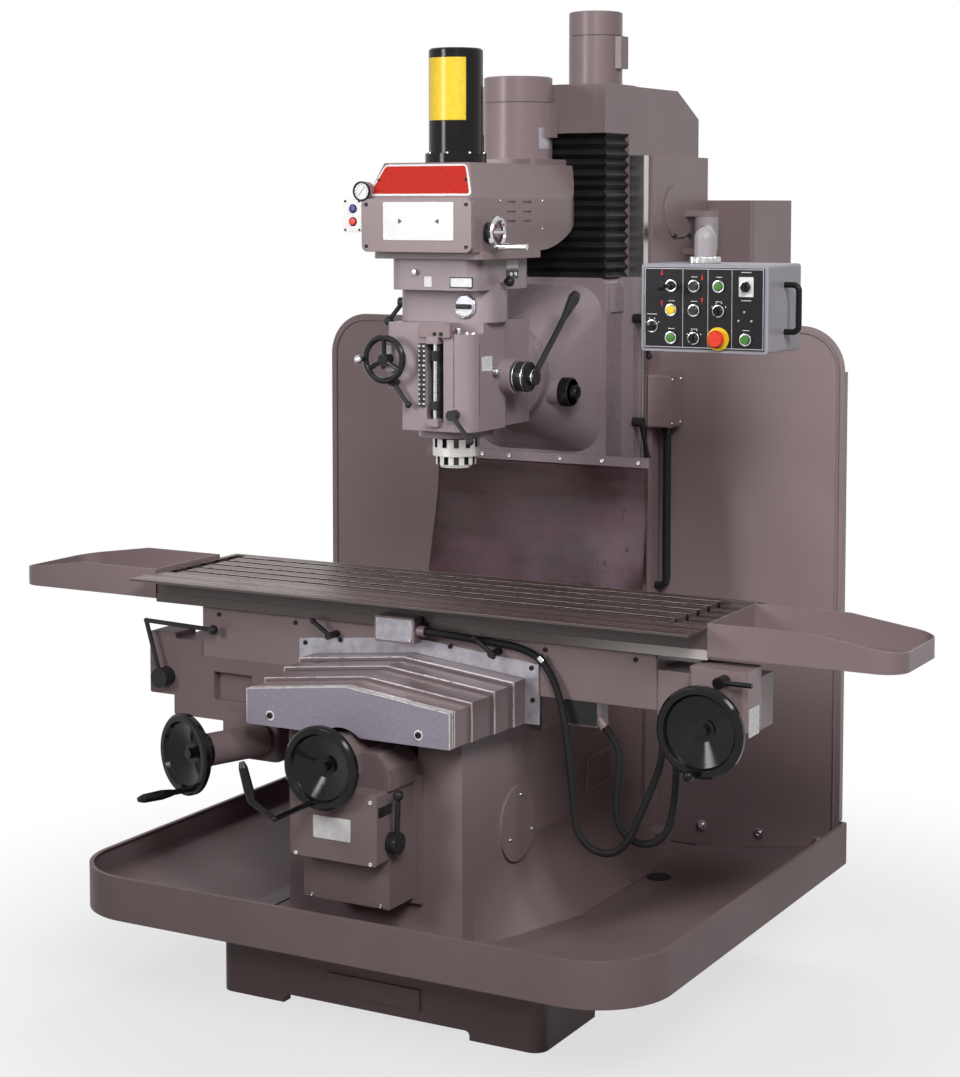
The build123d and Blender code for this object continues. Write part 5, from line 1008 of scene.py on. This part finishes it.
# A black plate over the side box: painted shade.
tiles("side_box_shade", [(0.455, -0.580, 0.772)], FRONT, (0.088, 0.058), "black_oxide", "saddle", 0.002)
spots = [(x, -0.580, 0.915) for x in (-0.60, -0.36, 0.36, 0.60)]
screws("saddle_screws", spots, FRONT, 0.006, "black_oxide", "saddle")
clip = carried(np.array([(-0.006, 0, 0.003), (0.006, 0, -0.007)]) + LOOP_ROUTE[5], 0.0112)
show("conduit_clip", clip, "chrome", "saddle")
print("hood and boxes ready")

# %% [markdown]
# ## Handwheels and their dials
# A dial is a dark drum behind the wheel, with a bright line at its end and white marks round it. The marks are thin
# plates set round a circle, a longer one at every fifth.

# %% Dials
DRUM_RADIUS, MARK_COUNT, MARK_LENGTH = 0.0450, 50, 0.012


def dial_marks(name, centre, body):
    """Marks round a drum: each lies along the drum's axis, which looks to the front, and faces outward."""
    right, up, out = axes_from(FRONT)
    marks, places = [], []
    for number, turn in enumerate(np.arange(MARK_COUNT) * 2 * np.pi / MARK_COUNT):
        way = right * np.cos(turn) + up * np.sin(turn)
        reach = MARK_LENGTH if number % 5 == 0 else MARK_LENGTH * 0.6
        marks.append(plate(0.0009, reach, 0.0002, slab(0.0003, 0.0001)))
        places.append((centre + way * DRUM_RADIUS - out * (reach / 2), np.cross(out, way), out, way))
    show(name, marks, "white_plate", body, places)


def wheel_finish(name, seat):
    """Black gloss wheel with a dark drum behind its seat along Y and a bright line at the drum's end."""
    f = Finish(name)
    behind = f.axes()[1] - seat
    drum, line = behind > 0.0, behind > 0.0195
    bloom = f.noise(9.0, 4.0)
    tone = f.mix(bloom.rise(0.45, 0.8), (0.007, 0.006, 0.006), (0.014, 0.012, 0.012))
    tone = f.mix(drum, tone, (0.030, 0.026, 0.026))
    f.set({
        "Base Color": f.mix(line, tone, (0.62, 0.58, 0.57)),
        "Metallic": line,
        "Roughness": bloom * 0.10 + drum * 0.15 + 0.07,
        "Specular IOR Level": 0.22,
        "Normal": f.bump(bloom, 0.0002, 0.0015),
    })


for name, seat, body in (("x_wheel_right", np.array([0.836, -0.7103, 0.802]), "x_wheel_right"),
                         ("y_wheel", np.array([-0.014, -0.9643, 0.672]), "cross_screw")):
    wheel_finish(name + "_finish", seat[1])
    dress(name, name + "_finish")
    dial_marks(name + "_marks", seat + (0, 0.002, 0), body)
    print(name, "seat at", seat)

# %% [markdown]
# ## Lower machine
# Gearbox, bed, guards and column carry cover plates with screws. The guards have a bead pressed along their edges,
# which is a thin tube carried up the side and round the corner.

# %% Cross-feed gearbox and bed
BOX_Y = corners("y_gearbox")[0][1]
spots = [(x, BOX_Y, z) for x in (-0.104, 0.104) for z in (0.4515, 0.598)]
screws("gearbox_screws", spots, FRONT, 0.0055, "chrome", "frame")
tiles("gearbox_plate", [(-0.004, BOX_Y, 0.522)], FRONT, (0.104, 0.054), "white_plate", "frame", 0.0012)
tiles("gearbox_side_plate", [(0.120, -0.930, 0.572)], RIGHT, (0.060, 0.024), "dark_cap", "frame", 0.0012)
screws("sump_screws", [(x, -0.910, 0.336) for x in (-0.096, 0.096)], FRONT, 0.0055, "chrome", "frame")
hatch = [(0.2500, -0.4992, 0.5281), (0.2500, -0.4404, 0.4267), (0.2500, -0.5532, 0.4255)]
screws("bed_cover_screws", hatch, RIGHT, 0.0050, "chrome", "frame")
# The plate's rim takes the paler enamel, which is painted light, and its face the darker one, which is painted shade.
tiles("bed_plate_edge", [(0.2445, -0.053, 0.492)], RIGHT, (0.150, 0.098), "lit_head_paint", "frame", 0.0060, 0.006)
tiles("bed_plate_face", [(0.2504, -0.053, 0.492)], RIGHT, (0.128, 0.076), "base_paint", "frame", 0.0012, 0.004)
tiles("right_box_plate", [(0.908, -0.602, 0.806)], RIGHT, (0.062, 0.066), "white_plate", "saddle")
print("gearbox and bed fittings ready")

# %% Splash guards
GUARD_FRONT, GUARD_FOOT, GUARD_CORNER, BEAD_INSET = 0.332, 0.30, 0.120, 0.017
spots = np.array([(x, GUARD_FRONT, 0.262) for x in (-0.74, -0.56, -0.40, 0.38, 0.55, 0.72)])
rings("guard_washers", spots, FRONT, 0.006, 0.0145, 0.002, "chrome", "frame")
screws("guard_bolts", spots - (0, 0.0015, 0), FRONT, 0.0085, "chrome", "frame")


def guard_bead(outer, inner, top):
    """Bead pressed along a guard's edge: up the side, round the corner by a quarter circle and along the top."""
    side = np.sign(outer - inner)
    angle = np.linspace(0, np.pi / 2, 15)
    bend = GUARD_CORNER - BEAD_INSET
    x = outer - side * (GUARD_CORNER - bend * np.cos(angle))
    z = top - GUARD_CORNER + bend * np.sin(angle)
    path = [(outer - side * BEAD_INSET, GUARD_FOOT), *zip(x, z), (inner, top - BEAD_INSET)]
    return carried([(px, GUARD_FRONT, pz) for px, pz in path], 0.0030, 10)


guard_low, guard_high = corners("splash_guards")
for name, outer, inner in (("guard_bead_right", guard_high[0], 0.330), ("guard_bead_left", guard_low[0], -0.330)):
    show(name, guard_bead(outer, inner, guard_high[2]), "sheet_paint", "frame", smooth=60)
print("guard bolts", len(spots))

# %% [markdown]
# ## Zones
# The column's ways are ground bright while the rest is painted, the knobs on the gear housing are black, the clutch
# lever is black on the painted gearbox, the wiring's pipe is rubber, and the feed wheel's grip is a chrome ball.

# %% Zones
wiring_top = corners("column_wiring")[1][2]


def column_zones(f):
    """Bright ways: the front of the column, outside its middle."""
    x, y, _ = f.axes()
    return [((y < 0.2485) * (abs(x) > 0.2025), (0.50, 0.48, 0.47), 1.0, 0.24)]


def gear_zones(f):
    """Black range knobs at both sides, and the dial's pointer low in front."""
    x, y, z = f.axes()
    knobs = (abs(x) > 0.1405) * (z < 1.812)
    pointer = (y < -0.4508) * (z < 1.7705)
    return [(knobs, (0.010, 0.009, 0.010), 0.0, 0.14), (pointer, (0.012, 0.011, 0.012), 0.0, 0.2)]


def clutch_zones(f):
    """Black clutch lever: what stands high in front of the gearbox."""
    _, y, z = f.axes()
    return [((y < -0.6512) * (z > 0.858), (0.012, 0.011, 0.012), 0.0, 0.2)]


def wiring_zones(f):
    """Rubber pipe: all that lies below the junction box."""
    return [(f.axes()[2] < wiring_top - 0.1455, (0.013, 0.012, 0.012), 0.0, 0.5)]


def grip_zones(f):
    """Chrome ball: what lies within its radius of the grip's centre."""
    ball = 1 - f.far((-0.161, -0.5905, 1.599)).rise(0.0106, 0.0112)
    return [(ball, (0.55, 0.54, 0.54), 1.0, 0.12)]


for node, finish, colour, roughness, zones in (
    ("column", "column_finish", GREY, 0.30, column_zones),
    # The gear housing takes the paler, bluer enamel too: painted light.
    ("gear_housing", "gear_finish", LIT_GREY, 0.30, gear_zones),
    ("column_wiring", "wiring_finish", GREY, 0.30, wiring_zones),
    ("x_gearbox_right", "right_box_finish", GREY, 0.30, clutch_zones),
    ("feed_handwheel", "feed_wheel_finish", (0.010, 0.009, 0.010), 0.18, grip_zones),
):
    paint(finish, colour, roughness, zones=zones)
    dress(node, finish)
    print(finish, "on", node)

# %% Carriage and column fittings
BOSS = (0.186, -0.0887, 1.494)
knob = turned([(0.034, -0.030), (0.0385, -0.028), (0.0385, -0.004), (0.036, 0.000), (0.020, 0.000), (0.019, 0.012),
               (0.017, 0.015), (0, 0.015)], 72)
knob[1:3, ::2, :2] *= 0.965
show("worm_knob", knob, "black_handle", "carriage", facing([BOSS], RIGHT), smooth=30)
spots = [(x, 0.054, 1.300) for x in (-0.30, -0.162, -0.078, 0.078, 0.203, 0.31)]
screws("apron_bar_screws", spots, FRONT, 0.006, "chrome", "carriage")
spots = [(0.2515, y, 1.898) for y in (0.412, 0.5158)]
screws("column_hatch_screws", spots, RIGHT, 0.006, "black_oxide", "frame")

LID, LID_SIZE = np.array([corners("column_wiring")[1][0], 0.290, wiring_top - 0.0725]), (0.072, 0.136)
tiles("column_box_lid", [LID], RIGHT, LID_SIZE, "machine_paint", "frame", 0.003, 0.004)
spots = corner_spots(LID + (0.003, 0, 0), LID_SIZE, RIGHT, 0.008)
screws("column_box_screws", spots, RIGHT, 0.0042, "chrome", "frame")
PIPE = (0.2775, 0.310)
pipe_top = wiring_top - 0.1465
tube, length = ribbed(np.array([(*PIPE, pipe_top), (*PIPE, wiring_top - 0.145 - 0.420)]), 0.0114)
show("column_conduit_ribs", tube, "black_rubber", "frame", smooth=80)
gland = turned([(0.0165, -0.001), (0.0165, 0.010), (0.0150, 0.012), (0.0150, 0.024), (0.0118, 0.026)], 24)
gland[:2, ::4, :2] *= 0.93
show("column_gland", gland, "black_oxide", "frame", [((*PIPE, pipe_top + 0.001), (1, 0, 0), (0, -1, 0), (0, 0, -1))])
print("column conduit", round(length, 3), "m")

# %% [markdown]
# ## Small controls
# The nose ring of the quill is white metal, with painted shade in the gaps between its teeth. A point lies in one of
# the gaps where the surface is nearer to the spindle than the teeth's crests, so the finish reads the distance from
# the spindle's axis. The panel has bars, arrows and dots beside its controls.


# %% Nose ring, drum and crank
def nose_finish():
    """White metal crests, and painted shade where a point lies nearer to the spindle's axis than the crests."""
    f = Finish("nose_finish")
    x, y, z = f.axes()
    from_axis = y - DRAWBAR[1]
    reach = (x * x + from_axis * from_axis) ** 0.5
    # Painted shade in the gaps between the teeth.
    gap_shade = (z > 1.3702) * (reach < 0.0580) + (z < 1.3478) * (reach < 0.0505)
    fine = f.noise(1.0, 2.0, f.stretched((300, 300, 20)))
    f.set({
        "Base Color": f.mix(gap_shade, f.mix(fine, (0.60, 0.58, 0.56), (0.78, 0.76, 0.74)), (0.012, 0.010, 0.010)),
        "Metallic": (1 - gap_shade) * 0.35,
        "Roughness": fine * 0.15 + 0.25,
        "Normal": f.bump(fine, 0.00003, 0.0012),
    })


nose_finish()
dress("quill", "nose_finish")
DRUM = np.array([corners("quill_lever")[0][0], -0.335, 1.551])
for name, at, radius in (("drum_ring_inner", 0.005, 0.038), ("drum_ring_outer", 0.030, 0.038),
                         ("drum_ring_cap", 0.050, 0.020)):
    rings(name, [DRUM + (at, 0, 0)], RIGHT, radius - 0.0005, radius + 0.0006, 0.0022, "chrome", "quill_lever")
CRANK = np.array([0.150, -0.485, 1.915])
caps("crank_dial", [CRANK], RIGHT, 0.0260, 0.0160, "dark_cap", "head", "black_paint")
rings("crank_dial_red", [CRANK + (0.0155, 0, 0)], RIGHT, 0.0140, 0.0200, 0.0012, "red_plate", "head")
tiles("head_seam", [(0.0698, HEAD_Y, 1.552)], FRONT, (0.0016, 0.226), "black_oxide", "head", 0.0003, 0.0004)
tiles("head_side_seam", [(0.118, -0.470, 1.550)], RIGHT, (0.0016, 0.180), "black_oxide", "head", 0.0003, 0.0004)
print("nose ring and drum ready")

# %% Panel legends
bars = [(COLUMNS[c], PANEL_Y, ROWS[r] + 0.0215) for c, r in bezels if r or c]
titles = [(COLUMNS[3], PANEL_Y, 1.8275), (COLUMNS[3], PANEL_Y, 1.7625), (0.600, PANEL_Y, 1.7265)]
for name, spots, size in (("panel_bars", bars, (0.017, 0.0024)), ("panel_titles", titles, (0.026, 0.0026))):
    tiles(name, spots, FRONT, size, "white_plate", "control_box", 0.0003, 0.0004)
arrow = plate(0.0066, 0.0160, 0.0002, slab(0.0003, 0.0001))
arrow[..., 0] *= np.clip(0.5 - arrow[..., 1] / 0.016, 0.06, 1)
places = [((x, PANEL_Y, z), (1, 0, 0), (0, 0, way), FRONT) for x, z, way in
          ((0.6250, 1.8265, 1), (0.6250, 1.7500, -1), (0.7275, 1.8165, 1), (0.7275, 1.7590, -1))]
show("panel_arrows", arrow, "red_plate", "control_box", places)
centres = ((COLUMNS[2], PANEL_Y, ROWS[1]), (COLUMNS[1], PANEL_Y, ROWS[2]), KNOB)
dots = [place[0] for centre in centres for place in clockwise(centre, 0.0195, (-60, -20, 20, 60))]
caps("panel_dots", dots, FRONT, 0.0015, 0.0004, "white_plate", "control_box")
print("panel legends", len(bars) + len(titles) + len(places) + len(dots))

# %% [markdown]
# ## Cabinet and drain
# The back of the machine is not seen in the photograph. Its cabinet gets what such a cabinet has: hinges, side latches
# and two rows of vent slots, drawn as black tiles of painted shade. Two black discs over the drains in the pan's flange
# are painted shade for the drain holes.

# %% Cabinet fittings and strainers
cabinet_low, cabinet_high = corners("electrical_cabinet")
HINGE_Z, LOCK_Z, VENT_Z = (cabinet_low[2] + rise for rise in (
    np.array([0.16, 0.52, 0.88]), np.array([0.34, 0.70]), np.arange(0.08, 0.165, 0.014)))
hinge = turned([(0.0040, -0.034), (0.0068, -0.032), (0.0068, 0.032), (0.0040, 0.034)], 20)
places = [((-0.3645, cabinet_high[1] - 0.011, z), *UPRIGHT) for z in HINGE_Z]
show("cabinet_hinges", hinge, "black_oxide", "frame", places)
locks = [(cabinet_high[0] - 0.002, 0.972, z) for z in LOCK_Z]
rings("cabinet_lock_rings", locks, RIGHT, 0.0110, 0.0150, 0.0040, "chrome", "frame")
caps("cabinet_locks", locks, RIGHT, 0.0108, 0.0036, "black_oxide", "frame")
vents = [(cabinet_low[0], y, z) for y in (0.79, 0.90) for z in VENT_Z]
# Black tiles for the vent slots: painted shade in the openings.
tiles("cabinet_vent_shade", vents, LEFT, (0.080, 0.0055), "black_oxide", "frame", 0.0008, 0.0025)
# Black discs over the drains: painted shade in the drain holes.
drain_disc = turned([(0.0340, -0.001), (0.0340, 0.0022), (0.0300, 0.0030), (0.0285, 0.0012), (0, 0.0012)], 40)
show("drain_shade_discs", drain_disc, "black_oxide", "frame", [((x, 0.010, 0.2030), *UPRIGHT) for x in (-0.396, 0.396)])
print("cabinet fittings", len(vents) + len(locks) + len(places))

# %% [markdown]
# ## Floor and light
# The machine stands on a pale floor in a white studio. Two soft boxes at the right are the main light, one at the left
# fills and draws the upright streaks on motors and tubes, and a wide one above lights the table and the tray. Two more
# light the back, and glossy paint doesn't mirror them.


# %% Floor, world and lamps
def stage_floor(centre, near, far, size=14.0):
    """Pale floor with the machine's shadow: to the eye and in mirrors 0.7 white near a centre, and white far off."""
    f = Finish("stage_floor")
    f.set({"Base Color": f.mix(f.noise(3.0, 3.0), (0.52, 0.52, 0.52), (0.56, 0.56, 0.56)), "Roughness": 0.8})
    share = f.seen() * (f.far(centre).rise(near, far) * 0.3 + 0.7)
    glow = f.node("ShaderNodeEmission", None, {"Color": (1, 1, 1, 1), "Strength": 1.0})
    both = f.node("ShaderNodeMixShader", None, {0: share, 1: Value(f, f.shader.outputs[0]), 2: glow})
    f.put(f.tree.nodes["Material Output"].inputs["Surface"], both)
    mesh = bpy.data.meshes.new("floor")
    mesh.from_pydata([(-size, -size, 0), (size, -size, 0), (size, size, 0), (-size, size, 0)], [], [(0, 1, 2, 3)])
    mesh.materials.append(f.owner)
    floor = bpy.data.objects.new("floor", mesh)
    bpy.context.scene.collection.objects.link(floor)


def white_world(light):
    """White to the camera and in mirrors, and a dim warm light for everything else."""
    f = Finish("studio", bpy.data.worlds, "Background")
    f.set({"Color": f.mix(f.seen(), light, (1, 1, 1))})
    bpy.context.scene.world = f.owner


def soft_box(name, place, target, size, power, spread, colour=(0.97, 0.98, 1.0), mirrored=True):
    """Rectangular lamp that looks at a point, sends its light within an angle and may show in glossy paint."""
    data = bpy.data.lights.new(name, "AREA")
    data.shape = "RECTANGLE"
    data.size, data.size_y = size
    data.energy = power
    data.spread = np.radians(spread)
    data.color = colour
    lamp = bpy.data.objects.new(name, data)
    bpy.context.scene.collection.objects.link(lamp)
    lamp.visible_glossy = mirrored
    lamp.location = place
    lamp.rotation_euler = (Vector(target) - Vector(place)).to_track_quat("-Z", "Y").to_euler()


stage_floor((0.2, -0.2, 0.0), 0.9, 2.2)
white_world((0.058, 0.036, 0.028))
soft_box("box_right", (2.3, -3.9, 3.7), (0.2, -0.2, 1.4), (1.2, 1.6), 28, 90)
soft_box("box_side", (3.4, -2.4, 4.2), (0.2, -0.2, 1.4), (1.0, 1.6), 22, 90)
soft_box("box_left", (-1.6, -4.0, 2.6), (0, -0.3, 1.75), (1.0, 1.6), 12, 60)
soft_box("box_top", (0.6, -1.6, 5.2), (0.2, -0.3, 1.2), (2.4, 2.4), 3, 120, (1, 1, 1))
soft_box("box_back_left", (-1.6, 4.8, 4.0), (-0.2, 0.8, 1.0), (1.4, 1.4), 18, 60, mirrored=False)
soft_box("box_back_right", (0.8, 5.0, 4.0), (0.2, 0.8, 1.0), (1.4, 1.4), 11, 60, mirrored=False)
bpy.context.scene.view_settings.view_transform = "Standard"
print("studio ready")
